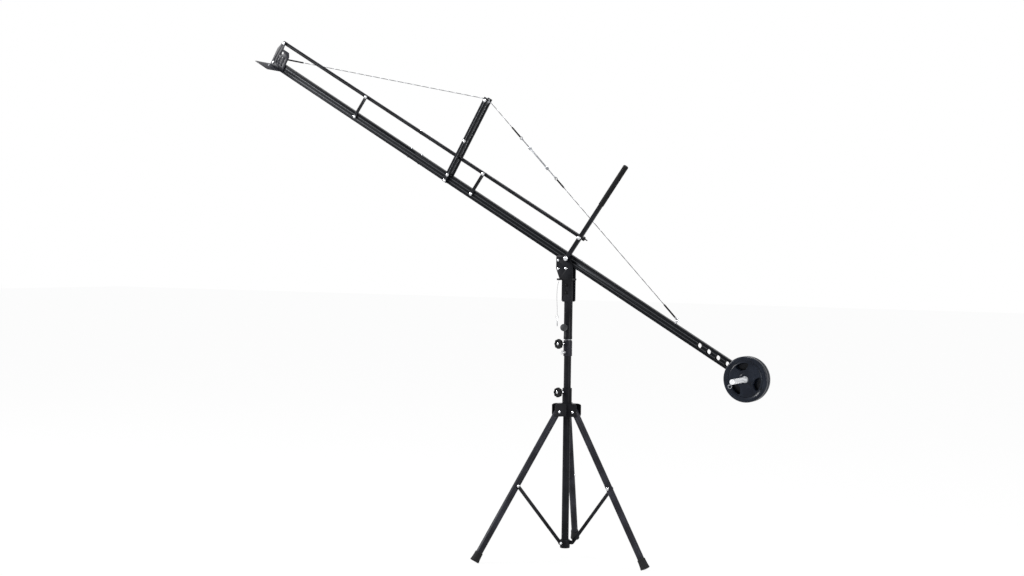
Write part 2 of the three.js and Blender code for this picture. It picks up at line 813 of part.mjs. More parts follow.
function weightPlate(index) {
  const near = boomSide + plateSeatGap + index * (plateThickness + platePitchGap);
  const middle = near + plateThickness / 2;
  const [half, web] = [plateThickness / 2, plateWeb / 2];
  const disc = turned([
    [barRadius + fitGap, -half], [plateHubRadius, -half], [plateHubRadius + plateBevel, -web],
    [plateRimInner - plateBevel, -web], [plateRimInner, -half], [plateRadius - plateBevel, -half],
    [plateRadius, plateBevel - half], [plateRadius, half - plateBevel], [plateRadius - plateBevel, half],
    [plateRimInner, half], [plateRimInner - plateBevel, web], [plateHubRadius + plateBevel, web],
    [plateHubRadius, half], [barRadius + fitGap, half], [barRadius + fitGap, -half],
  ], plateFacets).rotateX(Math.PI / 2);
  const windows = [];
  for (let i = 0; i < plateWindowCount; i += 1) {
    windows.push(plateWindow((plateWindowStarts[index] + (fullTurn * i) / plateWindowCount) * degree));
  }
  return cut(disc, ...windows).translate(barPlace, -middle, 0);
}

function weightClip() {
  const pin = barZ(clipRadius, -clipReach, clipReach, boltFacets);
  const ringCentre = clipRingWire - clipReach - clipRingRadius;
  const pull = ring(clipRingRadius, clipRingWire).translate(0, 0, ringCentre);
  return join(pin, pull).translate(barPlace, clipInset - barNearEnd, 0);
}

// Truss

function mastBar(side) {
  const [w, t] = [mastBarWidth / 2, mastBarThickness / 2];
  const half = grooveWidth / 2;
  const outline = polygon([
    [-w, -t], [-half, -t], [0, grooveDepth - t], [half, -t], [w, -t],
    [w, t], [half, t], [0, t - grooveDepth], [-half, t], [-w, t],
  ]);
  const offset = side * (boomSide + fitGap + t);
  const bar = alongZ(outline, mastFoot, mastTopBolt + mastTopReach).translate(mastPlace, offset, 0);
  const heights = [...mastFootBolts, mastMiddleBolt, mastTopBolt];
  return cut(bar, ...heights.map((height) => crossHole(mastBoltRadius + fitGap, mastPlace, height)));
}

const mastFace = boomSide + mastBarThickness + 2 * fitGap;

function mastBolt(height, ...extras) {
  const bolt = throughBolt(mastBoltRadius, mastBoltHead, mastBoltHeadHeight, mastFace, mastFace);
  return (extras.length ? join(bolt, ...extras) : bolt).translate(mastPlace, 0, height);
}

function spool() {
  const rim = boomSide - spoolRimThickness;
  return [
    barY(spoolRadius, -boomSide, boomSide),
    barY(spoolRim, -boomSide, -rim),
    barY(spoolRim, rim, boomSide),
  ];
}

// A lug on the boom's far side, so that the cable passes clear of the control rod
const anchorInner = boomSide + fitGap + anchorWasher;
const anchorOuter = anchorInner + anchorPlate;
const anchorMiddle = (anchorInner + anchorOuter) / 2;

function cableAnchor() {
  const outline = new THREE.Shape();
  outline.moveTo(-anchorHalfWidth, -anchorDrop);
  outline.lineTo(anchorHalfWidth, -anchorDrop);
  outline.lineTo(anchorHalfWidth, boomTop);
  outline.absarc(0, anchorRise, 2 * anchorScrewRadius + anchorPlate / 2, 0, Math.PI, false);
  outline.lineTo(-anchorHalfWidth, boomTop);
  const plate = slab(outline, anchorInner, anchorOuter);
  const eye = barY(anchorHole, anchorInner - overrun, anchorOuter + overrun).translate(0, 0, anchorRise);
  const screws = anchorScrews.flatMap((height) => [
    barY(anchorScrewRadius, cavityHalfWidth, anchorOuter + anchorScrewHeadHeight / 2),
    barY(anchorWasherRadius, boomSide + fitGap, anchorInner + fitGap),
    barY(anchorScrewHead, anchorOuter - fitGap, anchorOuter + anchorScrewHeadHeight),
  ].map((part) => part.translate(0, 0, height)));
  return join(cut(plate, eye), ...screws).translate(anchorPlace, 0, 0);
}

function eyeBolt(place) {
  const face = boomTop + fitGap;
  const deep = boomTop - boomWall - fitGap;
  return join(
    ring(eyeRingRadius, eyeRingWire).translate(0, 0, eyeRise),
    barZ(eyeShankRadius, deep - 2 * eyeNutHeight, eyeRise - eyeRingRadius, boltFacets),
    barZ(eyeNutRadius, face, face + eyeNutHeight, nutFacets),
    barZ(eyeNutRadius, deep - eyeNutHeight, deep, nutFacets),
  ).translate(place, 0, 0);
}

// The cable bends over the spool at one corner
const cornerRise = mastTopBolt + (spoolRadius + cableRadius + fitGap) / Math.cos(cableFall * degree);
const frontReach = mastPlace - anchorPlace;
const frontFall = Math.atan2(cornerRise - anchorRise, frontReach);
const rearFall = Math.atan2(cornerRise - eyeRise, rearEyePlace - mastPlace);
const frontRun = Math.hypot(cornerRise - anchorRise, frontReach, anchorMiddle);
const frontSide = Math.asin(anchorMiddle / frontRun);
const rearRun = Math.hypot(cornerRise - eyeRise, rearEyePlace - mastPlace);
const ringToEye = cableRingRadius + eyeRingRadius - cableRingWire - eyeRingWire - linkGap;
const ringToRing = 2 * cableRingRadius - 2 * cableRingWire - linkGap;
const upperRingPlace = upperEyePlace - ringToRing;
const lowerEyePlace = turnbucklePlace + turnbuckleLength + turnbuckleEyeReach;
const lowerRingPlace = lowerEyePlace + ringToRing;
const tailRingPlace = rearRun - ringToEye;
const frontRingPlace = frontRun - cableRingRadius - (anchorHole - cableRingWire - anchorSlack);

// A ring whose hole faces up, square to a ring about the Y axis
function flatRing(radius, wire) {
  return new THREE.TorusGeometry(radius, wire, ringTubeFacets, ringFacets);
}

function frontCable() {
  const edge = cableRingRadius;
  const ahead = [
    flatRing(cableRingRadius, cableRingWire).translate(-frontRingPlace, 0, 0),
    barX(cableSleeveRadius, -frontRingPlace + edge, -frontRingPlace + edge + frontSleeve, boltFacets),
    barX(cableRadius, -frontRingPlace + edge, 0, boltFacets),
  ].map((part) => part.rotateZ(-frontSide).rotateY(-frontFall));
  const behind = [
    barX(cableRadius, 0, upperRingPlace - edge, boltFacets),
    barX(cableSleeveRadius, upperRingPlace - edge - upperSleeve, upperRingPlace - edge, boltFacets),
    ring(cableRingRadius, cableRingWire).translate(upperRingPlace, 0, 0),
  ].map((part) => part.rotateY(rearFall));
  const knee = new THREE.SphereGeometry(cableRadius, boltFacets, nutFacets);
  return join(knee, ...ahead, ...behind);
}

function rearCable() {
  const edge = cableRingRadius;
  return join(
    ring(cableRingRadius, cableRingWire).translate(lowerRingPlace, 0, 0),
    barX(cableSleeveRadius, lowerRingPlace + edge, lowerRingPlace + edge + lowerSleeve, boltFacets),
    barX(cableRadius, lowerRingPlace + edge, tailRingPlace - edge, boltFacets),
    barX(cableSleeveRadius, tailRingPlace - edge - tailSleeve, tailRingPlace - edge, boltFacets),
    flatRing(cableRingRadius, cableRingWire).translate(tailRingPlace, 0, 0),
  );
}

function turnbuckleEye(eyePlace, shankEnd) {
  const [from, to] = [eyePlace, shankEnd].sort((a, b) => a - b);
  const side = Math.sign(shankEnd - eyePlace) * cableRingRadius;
  const shank = side > 0 ? [from + side, to] : [from, to + side];
  return join(
    flatRing(cableRingRadius, cableRingWire).translate(eyePlace, 0, 0),
    barX(turnbuckleShankRadius, ...shank, boltFacets),
  );
}

function turnbuckleBody() {
  const [from, to] = [turnbucklePlace, turnbucklePlace + turnbuckleLength];
  const side = turnbuckleBossRadius - turnbuckleSideRadius;
  const parts = [
    barX(turnbuckleBossRadius, from, from + turnbuckleBoss, boltFacets),
    barX(turnbuckleBossRadius, to - turnbuckleBoss, to, boltFacets),
    barX(turnbuckleSideRadius, from, to, boltFacets).translate(0, side, 0),
    barX(turnbuckleSideRadius, from, to, boltFacets).translate(0, -side, 0),
  ];
  return cut(
    join(...parts),
    barX(turnbuckleShankRadius + fitGap / 2, from - overrun, to + overrun, boltFacets),
  );
}

// Tilt linkage, each piece in the frame of its own pivot

const linkOffset = [linkLength * Math.sin(linkLean * degree), linkLength * Math.cos(linkLean * degree)];

function rodHoles() {
  return [headPlace, ...linkPlaces, 0].map((place) => {
    return barY(jointPinRadius + fitGap, -rodRadius - overrun, rodRadius + overrun).translate(place, 0, 0);
  });
}

function rodFront() {
  const [from, to] = [headPlace - rodEndReach, rodSplicePlace];
  const bore = barX(rodBore, from - overrun, to + overrun, tubeFacets);
  return cut(barX(rodRadius, from, to, tubeFacets), bore, ...rodHoles());
}

function rodRear() {
  const [from, to] = [rodSplicePlace + fitGap, rodEndReach];
  const tube = cut(
    barX(rodRadius, from, to, tubeFacets),
    barX(rodBore, from + rodSpigot, to + overrun, tubeFacets),
  );
  const spigot = barX(rodBore - fitGap, from - rodSpigot, from + rodSpigot / 2, tubeFacets);
  return cut(join(tube, spigot), ...rodHoles());
}

function link() {
  const inner = linkNearFace - linkThickness;
  const bar = slab(roundBar(linkWidth, 0, linkLength), -linkNearFace, -inner);
  const pins = [
    barY(jointPinRadius, -linkNearFace, boomSide + fitGap + linkNutHeight / 2),
    barY(linkNutRadius, boomSide + fitGap, boomSide + fitGap + linkNutHeight, nutFacets),
    barY(linkHeadRadius, -linkNearFace - linkHeadHeight, -linkNearFace + fitGap),
    barY(linkSpacerRadius, -inner - fitGap, -boomSide - fitGap),
  ];
  const upper = [
    barY(jointPinRadius, -linkNearFace, rodRadius + fitGap + linkNutHeight / 2),
    barY(linkNutRadius, rodRadius + fitGap, rodRadius + fitGap + linkNutHeight, nutFacets),
    barY(linkHeadRadius, -linkNearFace - linkHeadHeight, -linkNearFace + fitGap),
    barY(linkSpacerRadius, -inner - fitGap, -rodRadius - fitGap),
  ].map((part) => part.translate(0, 0, linkLength));
  return join(bar, ...pins, ...upper);
}

function tiltLever() {
  const half = leverSide / 2;
  const middle = half - leverNearFace;
  const outer = block(-half, half, middle - half, middle + half, -leverFoot, leverTop);
  const wall = half - leverWall;
  const bore = block(-wall, wall, middle - wall, middle + wall, -leverFoot - overrun, leverTop - leverWall);
  const reach = leverNearFace + overrun;
  const pivot = barY(tiltBoltRadius + fitGap, -reach, 0);
  const rodHole = barY(jointPinRadius + fitGap, -reach, 0).translate(0, 0, linkLength);
  return cut(outer, bore, pivot, rodHole);
}

function leverGrip() {
  const half = leverSide / 2 + fitGap;
  const middle = leverSide / 2 - leverNearFace;
  const top = leverTop + gripEnd;
  const body = turned([
    [0, gripStart], [gripRadius, gripStart], [gripRadius, top - gripEnd / 2],
    [gripRadius - gripEnd / 2, top], [0, top],
  ]).translate(0, middle, 0);
  const socket = block(-half, half, middle - half, middle + half, gripStart - overrun, leverTop + fitGap);
  return cut(body, socket);
}

function rodRearBolt() {
  const near = leverNearFace + fitGap;
  const leverInner = leverNearFace - leverSide - fitGap;
  const shankEnd = rodRadius + 2 * fitGap + wingHubLength / 2;
  return join(
    barY(jointPinRadius, -near - linkHeadHeight / 2, shankEnd),
    barY(linkHeadRadius, -near - linkHeadHeight, -near),
    barY(linkSpacerRadius, -leverInner, -rodRadius - fitGap),
  ).translate(0, 0, linkLength);
}

function wingKnob() {
  const inner = rodRadius + 2 * fitGap;
  const outer = inner + wingHubLength;
  const wings = block(
    -wingSpan / 2, wingSpan / 2, outer - wingHeight, outer, -wingThickness / 2, wingThickness / 2,
  );
  const blind = barY(jointPinRadius + fitGap, inner - overrun, inner + wingHubLength / 2 + fitGap);
  return cut(join(barY(wingHubRadius, inner, outer), wings), blind).translate(0, 0, linkLength);
}

// Camera head, in the frame of its pivot on the boom

const flangeInner = flangeNearFace - flangePlate;
const platformTop = -flangeDrop;
const platformBottom = -flangeDrop - flangePlate;

function headBracket() {
  const neck = flangeNeckWidth / 2;
  const [boltX, boltZ] = linkOffset;
  const outline = new THREE.Shape();
  outline.moveTo(-flangeFront, platformBottom);
  outline.lineTo(flangeRear, platformBottom);
  outline.lineTo(flangeRear, flangeShoulder);
  outline.lineTo(flangeRear - flangeDrop, flangeRise);
  outline.lineTo(boltX + neck, flangeRise);
  outline.lineTo(boltX + neck - flangePlate, boltZ);
  outline.absarc(boltX, boltZ, neck - flangePlate, 0, Math.PI, false);
  outline.lineTo(-flangeFront, flangeRise - flangeDrop);
  const flange = slab(outline, -flangeNearFace, -flangeInner);
  const shelf = block(-flangeFront, flangeRear, -platformReach, -flangeInner, platformBottom, platformTop);
  const reach = flangeNearFace + overrun;
  const tools = [
    barY(headPivotRadius + fitGap, -reach, 0),
    barY(jointPinRadius + fitGap, -reach, 0).translate(boltX, 0, boltZ),
    barY(flangeBigHole, -reach, 0).translate(flangeBigHoleAt[0], 0, flangeBigHoleAt[1]),
  ];
  for (let column = 0; column < flangeHoleColumns; column += 1) {
    for (let row = 0; row < flangeHoleRows; row += 1) {
      const x = flangeFirstHole[0] + column * flangeHolePitch;
      const z = flangeFirstHole[1] + row * flangeHolePitch;
      tools.push(barY(flangeSmallHole, -reach, 0).translate(x, 0, z));
    }
  }
  for (let i = 0; i < slotCount; i += 1) tools.push(slot(i));
  return cut(join(flange, shelf), ...tools);
}

const slotCentreX = (flangeRear - flangeFront) / 2;

function slotY(index) {
  return -slotMiddle + (index - (slotCount - 1) / 2) * slotPitch;
}

function slot(index) {
  const half = slotLength / 2 - slotWidth / 2;
  const [low, high] = [platformBottom - overrun, platformTop + overrun];
  const ends = [-half, half].map((x) => barZ(slotWidth / 2, low, high, boltFacets).translate(x, 0, 0));
  const middle = block(-half, half, -slotWidth / 2, slotWidth / 2, low, high);
  return join(middle, ...ends).translate(slotCentreX, slotY(index), 0);
}

function cameraScrew() {
  const knobTop = platformBottom - fitGap;
  return join(
    barZ(cameraStudRadius, knobTop - cameraKnobHeight / 2, platformTop + cameraStudRise, boltFacets),
    barZ(cameraKnobRadius, knobTop - cameraKnobHeight, knobTop, roundFacets),
  ).translate(slotCentreX, slotY((slotCount - 1) / 2), 0);
}

function headPivotBolt() {
  const near = flangeNearFace + fitGap;
  const far = boomSide + fitGap;
  return join(
    throughBolt(headPivotRadius, headPivotHead, headPivotHeadHeight, near, far),
    barY(headPivotHead, -flangeInner + fitGap, -far),
  );
}

function headRodBolt() {
  const near = flangeNearFace + fitGap;
  const far = rodRadius + fitGap;
  const bolt = join(
    throughBolt(jointPinRadius, linkHeadRadius, linkHeadHeight, near, far),
    barY(linkSpacerRadius, -flangeInner + fitGap, -far),
  );
  return bolt.translate(linkOffset[0], 0, linkOffset[1]);
}

function tiltBolt() {
  const near = leverNearFace + fitGap;
  const ear = earGap + saddlePlate + fitGap;
  return join(
    barY(tiltBoltRadius, -near - tiltBoltHeadHeight / 2, ear + tiltBoltHeadHeight / 2),
    barY(tiltBoltHead, -near - tiltBoltHeadHeight, -near, roundFacets),
    barY(tiltBoltHead, ear, ear + tiltBoltHeadHeight, nutFacets),
  ).translate(0, 0, tiltHeight);
}

// Keeper

function lanyard() {
  const points = [lanyardTop, ...lanyardRoute].map(([x, y, z]) => new THREE.Vector3(x, y, sleeveTop + z));
  const path = new THREE.CatmullRomCurve3(points);
  const section = new THREE.Shape();
  section.absarc(0, 0, lanyardRadius, 0, 2 * Math.PI, false);
  return new THREE.ExtrudeGeometry(section, {
    steps: lanyardSteps, curveSegments: lanyardFacets, bevelEnabled: false, extrudePath: path,
  });
}

function keeperPin() {
  const [x, y, z] = lanyardRoute[lanyardRoute.length - 1];
  const top = -fitGap;
  const centre = top - keeperRingRadius - keeperRingWire;
  const pinTop = centre - keeperRingRadius + keeperRingWire / 2;
  return join(
    ring(keeperRingRadius, keeperRingWire).translate(0, 0, centre),
    barZ(keeperPinRadius, pinTop - keeperPinLength, pinTop, boltFacets),
  ).translate(x, y, sleeveTop + z);
}

// Assembly

const crane = new THREE.Group();
const stand = frame(crane, 'stand_frame', 0, 0, 0);
piece('leg_crown', legCrown(), blackPaint, stand);
const crownClamp = clampFrame(stand, 'crown_lock_axis', crownKnobHeight, clampAzimuth);
piece('crown_lock_knob', lobedKnob(columnRadius + fitGap), blackPlastic, crownClamp);

const legGeometry = leg();
const footGeometry = foot();
const braceGeometry = brace();
for (let i = 1; i <= legCount; i += 1) {
  const turn = frame(stand, `leg_${i}_turn`, 0, 0, 0);
  turn.rotation.z = (firstLegAzimuth + (fullTurn * (i - 1)) / legCount) * degree;
  const legFrame = frame(turn, `leg_${i}_axis`, legPinRadius, 0, legPinHeight);
  legFrame.rotation.y = -splay;
  piece(`leg_${i}`, legGeometry, blackPaint, legFrame);
  piece(`foot_${i}`, footGeometry, rubber, legFrame);
  const braceFrame = frame(legFrame, `brace_${i}_axis`, 0, 0, -braceReach);
  braceFrame.rotation.y = splay + braceSlope;
  piece(`brace_${i}`, braceGeometry, blackPaint, braceFrame);
}

const column = frame(crane, 'column_frame', 0, 0, 0);
piece('outer_tube', outerTube(), blackPaint, column);
piece('base_hub', baseHub(), blackPaint, column);
piece('riser_collar', riserCollar(), blackPaint, column);
const riserClamp = clampFrame(column, 'riser_lock_axis', riserKnobHeight, clampAzimuth);
piece('riser_lock_knob', lobedKnob(riserRadius + fitGap), blackPlastic, riserClamp);
const plungerFrame = clampFrame(column, 'plunger_axis', plungerHeight, plungerAzimuth);
piece('locking_plunger', lockingPlunger(), chrome, plungerFrame);
piece('riser_tube', riserTube(), chrome, column);

const pan = frame(crane, 'pan_frame', 0, 0, 0);
piece('pan_sleeve', panSleeve(), blackPaint, pan);
const panClamp = clampFrame(pan, 'pan_lock_axis', panKnobHeight, ballAzimuth);
piece('pan_lock_knob', ballKnob(), blackPlastic, panClamp);
piece('saddle_bracket', saddleBracket(), blackPaint, pan);
const saddleBoltNames = ['saddle_bolt_lower', 'saddle_bolt_upper'];
saddleBoltHeights.forEach((height, i) => piece(saddleBoltNames[i], saddleBolt(height), steel, pan));
piece('tilt_bolt', tiltBolt(), chrome, pan);
const keeperDrop = frame(pan, 'keeper_frame', 0, 0, 0);
piece('keeper_lanyard', lanyard(), steel, keeperDrop);
piece('keeper_pin', keeperPin(), chrome, keeperDrop);

const boom = frame(crane, 'tilt_axis', 0, 0, tiltHeight);
boom.rotation.y = boomSlope * degree;
piece('boom_front', boomSection(boomFront, spliceAt[0] - fitGap / 2), anodised, boom);
piece('boom_middle', boomSection(spliceAt[0] + fitGap / 2, spliceAt[1] - fitGap / 2), anodised, boom);
piece('boom_rear', boomSection(spliceAt[1] + fitGap / 2, boomTail), anodised, boom);
piece('splice_insert_front', spliceInsert(spliceAt[0]), steel, boom);
piece('splice_insert_rear', spliceInsert(spliceAt[1]), steel, boom);
piece('weight_bar', weightBar(), chrome, boom);
frame(boom, 'bar_axis', barPlace, 0, 0);
piece('weight_plate_inner', weightPlate(0), ironPlate, boom);
piece('weight_plate_outer', weightPlate(1), ironPlate, boom);
piece('weight_clip', weightClip(), chrome, boom);

piece('mast_bar_near', mastBar(-1), anodised, boom);
piece('mast_bar_far', mastBar(1), anodised, boom);
piece('mast_foot_bolt_upper', mastBolt(mastFootBolts[0]), chrome, boom);
piece('mast_foot_bolt_lower', mastBolt(mastFootBolts[1]), chrome, boom);
const spacer = barY(mastSpacerRadius, -boomSide, boomSide);
piece('mast_middle_bolt', mastBolt(mastMiddleBolt, spacer), chrome, boom);
piece('mast_top_bolt', mastBolt(mastTopBolt, ...spool()), chrome, boom);
piece('front_cable_anchor', cableAnchor(), blackPaint, boom);
piece('rear_eye_bolt', eyeBolt(rearEyePlace), chrome, boom);

const corner = frame(boom, 'cable_corner', mastPlace, 0, cornerRise);
piece('truss_cable_front', frontCable(), steel, corner);
const fall = frame(corner, 'turnbuckle_axis', 0, 0, 0);
fall.rotation.y = rearFall;
piece('truss_cable_rear', rearCable(), steel, fall);
piece('turnbuckle_body', turnbuckleBody(), chrome, fall);
const upperShankEnd = turnbucklePlace + 2 * turnbuckleBoss;
const lowerShankEnd = turnbucklePlace + turnbuckleLength - 2 * turnbuckleBoss;
piece('turnbuckle_eye_upper', turnbuckleEye(upperEyePlace, upperShankEnd), chrome, fall);
piece('turnbuckle_eye_lower', turnbuckleEye(lowerEyePlace, lowerShankEnd), chrome, fall);

const lever = frame(boom, 'lever_axis', 0, 0, 0);
lever.rotation.y = linkLean * degree;
piece('tilt_lever', tiltLever(), blackPaint, lever);
piece('lever_grip', leverGrip(), rubber, lever);
piece('rod_rear_bolt', rodRearBolt(), chrome, lever);
frame(lever, 'wing_axis', 0, 0, linkLength);
piece('wing_knob', wingKnob(), blackPlastic, lever);

const rod = frame(boom, 'rod_axis', linkOffset[0], 0, linkOffset[1]);
piece('rod_front', rodFront(), blackPaint, rod);
piece('rod_rear', rodRear(), blackPaint, rod);

linkPlaces.forEach((place, i) => {
  const linkFrame = frame(boom, `${linkNames[i]}_axis`, place, 0, 0);
  linkFrame.rotation.y = linkLean * degree;
  piece(linkNames[i], link(), blackPaint, linkFrame);
});

const head = frame(boom, 'head_axis', headPlace, 0, 0);
piece('head_bracket', headBracket(), blackPaint, head);
piece('head_pivot_bolt', headPivotBolt(), chrome, head);
piece('head_rod_bolt', headRodBolt(), chrome, head);
frame(head, 'camera_screw_axis', slotCentreX, slotY((slotCount - 1) / 2), platformTop);
piece('camera_screw', cameraScrew(), steel, head);

// The origin is under the middle of the whole crane's box, on the floor
const outside = new THREE.Box3().setFromObject(crane, true);
const middle = outside.getCenter(new THREE.Vector3());
crane.position.set(-middle.x, -middle.y, -outside.min.z);
crane.updateMatrixWorld(true);

export default crane;
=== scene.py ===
# %% [markdown]
# # A camera jib crane, dressed for its portrait
# The crane's solids come from the CAD frame, which says where every piece is and what moves with what.
# This file gives them their looks: finer shapes over the plain solids, and a finish for each surface.
# Every length inside a piece is in millimetres, in the frame of the piece it belongs to. One matrix per
# frame then takes it to metres and to its place on the crane.

# %% Load the frame
import json
import math
from math import cos, pi, radians, sin

import bmesh
import bpy
from mathutils import Matrix, Vector


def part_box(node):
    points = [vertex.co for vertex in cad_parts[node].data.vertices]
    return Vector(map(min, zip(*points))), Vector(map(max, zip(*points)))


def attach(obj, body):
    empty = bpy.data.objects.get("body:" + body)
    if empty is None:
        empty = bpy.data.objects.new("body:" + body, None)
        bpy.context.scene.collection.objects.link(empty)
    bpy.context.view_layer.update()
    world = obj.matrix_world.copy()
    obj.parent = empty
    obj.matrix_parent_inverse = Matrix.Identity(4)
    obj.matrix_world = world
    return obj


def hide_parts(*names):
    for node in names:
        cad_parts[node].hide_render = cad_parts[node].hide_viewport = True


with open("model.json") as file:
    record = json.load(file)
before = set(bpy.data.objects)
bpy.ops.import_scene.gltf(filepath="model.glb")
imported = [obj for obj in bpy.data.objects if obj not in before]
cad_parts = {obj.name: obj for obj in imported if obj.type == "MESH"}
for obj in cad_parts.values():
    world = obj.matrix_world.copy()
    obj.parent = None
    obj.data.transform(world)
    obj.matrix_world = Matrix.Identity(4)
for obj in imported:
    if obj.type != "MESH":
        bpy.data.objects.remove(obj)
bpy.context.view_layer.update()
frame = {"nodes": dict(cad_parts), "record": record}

# %% [markdown]
# ## Frames
# A real crane is built from sub-assemblies, each with its own straight edges to measure from. The boom
# slopes at thirty degrees, and nobody would measure along its slope in room coordinates. So each
# sub-assembly gets a matrix here, and its pieces are drawn square to it.

# %% Frames of the sub-assemblies
MM = Matrix.Scale(0.001, 4)


def shift(x=0.0, y=0.0, z=0.0):
    return Matrix.Translation((x, y, z))


def turn(degrees, axis):
    return Matrix.Rotation(radians(degrees), 4, axis)


tube_low, tube_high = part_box("outer_tube")
COLUMN_X = (tube_low.x + tube_high.x) / 2
COLUMN_Y = (tube_low.y + tube_high.y) / 2
TILT_HEIGHT = 1566
BOOM_SLOPE = 30
LINK_LEAN = 5
LINK_LENGTH = 130
LEG_AZIMUTHS = (-10, 110, 230)
LEG_PIN = (52, 766)
FOOT_CIRCLE = 510
BRACE_REACH = 440
HUB_PIN = (34, 78)
HEAD_PLACE = -2222
LINK_PLACES = (-1559, -679)
MAST_PLACE = -857

STAND = shift(COLUMN_X, COLUMN_Y, 0) @ MM
BOOM = STAND @ shift(z=TILT_HEIGHT) @ turn(BOOM_SLOPE, "Y")
LEVER = BOOM @ turn(LINK_LEAN, "Y")
ROD_AT = (LINK_LENGTH * sin(radians(LINK_LEAN)), LINK_LENGTH * cos(radians(LINK_LEAN)))
ROD = BOOM @ shift(ROD_AT[0], 0, ROD_AT[1])
HEAD = BOOM @ shift(HEAD_PLACE)

splay = math.atan2(FOOT_CIRCLE - LEG_PIN[0], LEG_PIN[1])
leg_length = math.hypot(FOOT_CIRCLE - LEG_PIN[0], LEG_PIN[1])
brace_top = (LEG_PIN[0] + BRACE_REACH * sin(splay), LEG_PIN[1] - BRACE_REACH * cos(splay))
brace_run = (brace_top[0] - HUB_PIN[0], brace_top[1] - HUB_PIN[1])
brace_length = math.hypot(*brace_run)
brace_turn = Matrix.Rotation(splay + math.atan2(*brace_run), 4, "Y")

LEG = shift(LEG_PIN[0], 0, LEG_PIN[1]) @ Matrix.Rotation(-splay, 4, "Y")
LEGS = [STAND @ turn(azimuth, "Z") @ LEG for azimuth in LEG_AZIMUTHS]
BRACES = [leg @ shift(z=-BRACE_REACH) @ brace_turn for leg in LEGS]
print("legs splay", round(math.degrees(splay), 2), "degrees; braces are", round(brace_length, 1), "mm long")

# %% [markdown]
# ## Camera
# A product photograph of a long crane is taken from far away with a fairly long lens, so that the boom
# doesn't look bent or swollen. The lens, distance and aim here come from fitting the crane's own points,
# such as the feet, bolts and boom ends, to where the photograph shows them.

# %% Camera
IMAGE_WIDTH = 1024
FOCAL_PIXELS = 1514.3
CAMERA_AZIMUTH = 26.344
CAMERA_DISTANCE = 7.9183
CAMERA_HEIGHT = 1.5899
CAMERA_YAW = 2.143
CAMERA_PITCH = -1.321
CAMERA_ROLL = 0.794
SENSOR_WIDTH = 36.0


def placed(name, data):
    """A new object that holds this data, in the scene."""
    obj = bpy.data.objects.new(name, data)
    bpy.context.scene.collection.objects.link(obj)
    return obj


bearing = radians(CAMERA_AZIMUTH)
heading = radians(CAMERA_AZIMUTH + CAMERA_YAW)
pitch = radians(CAMERA_PITCH)
roll = radians(CAMERA_ROLL)
ahead = Vector((-sin(heading) * cos(pitch), cos(heading) * cos(pitch), sin(pitch)))
level = Vector((cos(heading), sin(heading), 0))
above = level.cross(ahead)
right = level * cos(roll) + above * sin(roll)
upward = above * cos(roll) - level * sin(roll)
camera_data = bpy.data.cameras.new("camera")
camera_data.sensor_width = SENSOR_WIDTH
camera_data.lens = FOCAL_PIXELS * SENSOR_WIDTH / IMAGE_WIDTH
camera_data.clip_end = 200
camera = placed("camera", camera_data)
camera.matrix_world = shift(
    COLUMN_X + CAMERA_DISTANCE * sin(bearing), COLUMN_Y - CAMERA_DISTANCE * cos(bearing), CAMERA_HEIGHT,
) @ Matrix((right, upward, -ahead)).transposed().to_4x4()
bpy.context.scene.camera = camera
print("lens", round(camera_data.lens, 2), "mm")

# %% [markdown]
# ## Shader sums
# Materials here are sums on sockets: a mask times a colour step, one minus a noise. Wiring each Math
# node by hand hides the idea, so one small class wraps a socket and lets Python's own signs add the
# nodes. Every other kind of node comes from one method, `node`, on the finish that owns the tree.

# %% Shader sums
class Sum:
    """A shader value that takes part in Python sums."""

    def __init__(self, tree, socket):
        self.tree = tree
        self.socket = socket

    def math(self, operation, *values):
        made = self.tree.nodes.new("ShaderNodeMath")
        made.operation = operation
        for slot, value in zip(made.inputs, values):
            fill(self.tree, slot, value)
        return Sum(self.tree, made.outputs[0])

    def __add__(self, other):
        return self.math("ADD", self, other)

    __radd__ = __add__

    def __sub__(self, other):
        return self.math("SUBTRACT", self, other)

    def __rsub__(self, other):
        return self.math("SUBTRACT", other, self)

    def __mul__(self, other):
        return self.math("MULTIPLY", self, other)

    def __abs__(self):
        return self.math("ABSOLUTE", self)


def fill(tree, slot, value):
    """Gives a node's input a sum, another node's output or a plain value."""
    if isinstance(value, Sum):
        tree.links.new(value.socket, slot)
    elif isinstance(value, bpy.types.NodeSocket):
        tree.links.new(value, slot)
    else:
        slot.default_value = value


def add_node(tree, kind, settings, inputs):
    """A new node. An input is named, with _ for a space, or numbered, such as _0."""
    made = tree.nodes.new(kind)
    for key, value in (settings or {}).items():
        setattr(made, key, value)
    for key, value in inputs.items():
        fill(tree, made.inputs[int(key[1:]) if key[1:].isdigit() else key.replace("_", " ")], value)
    return made


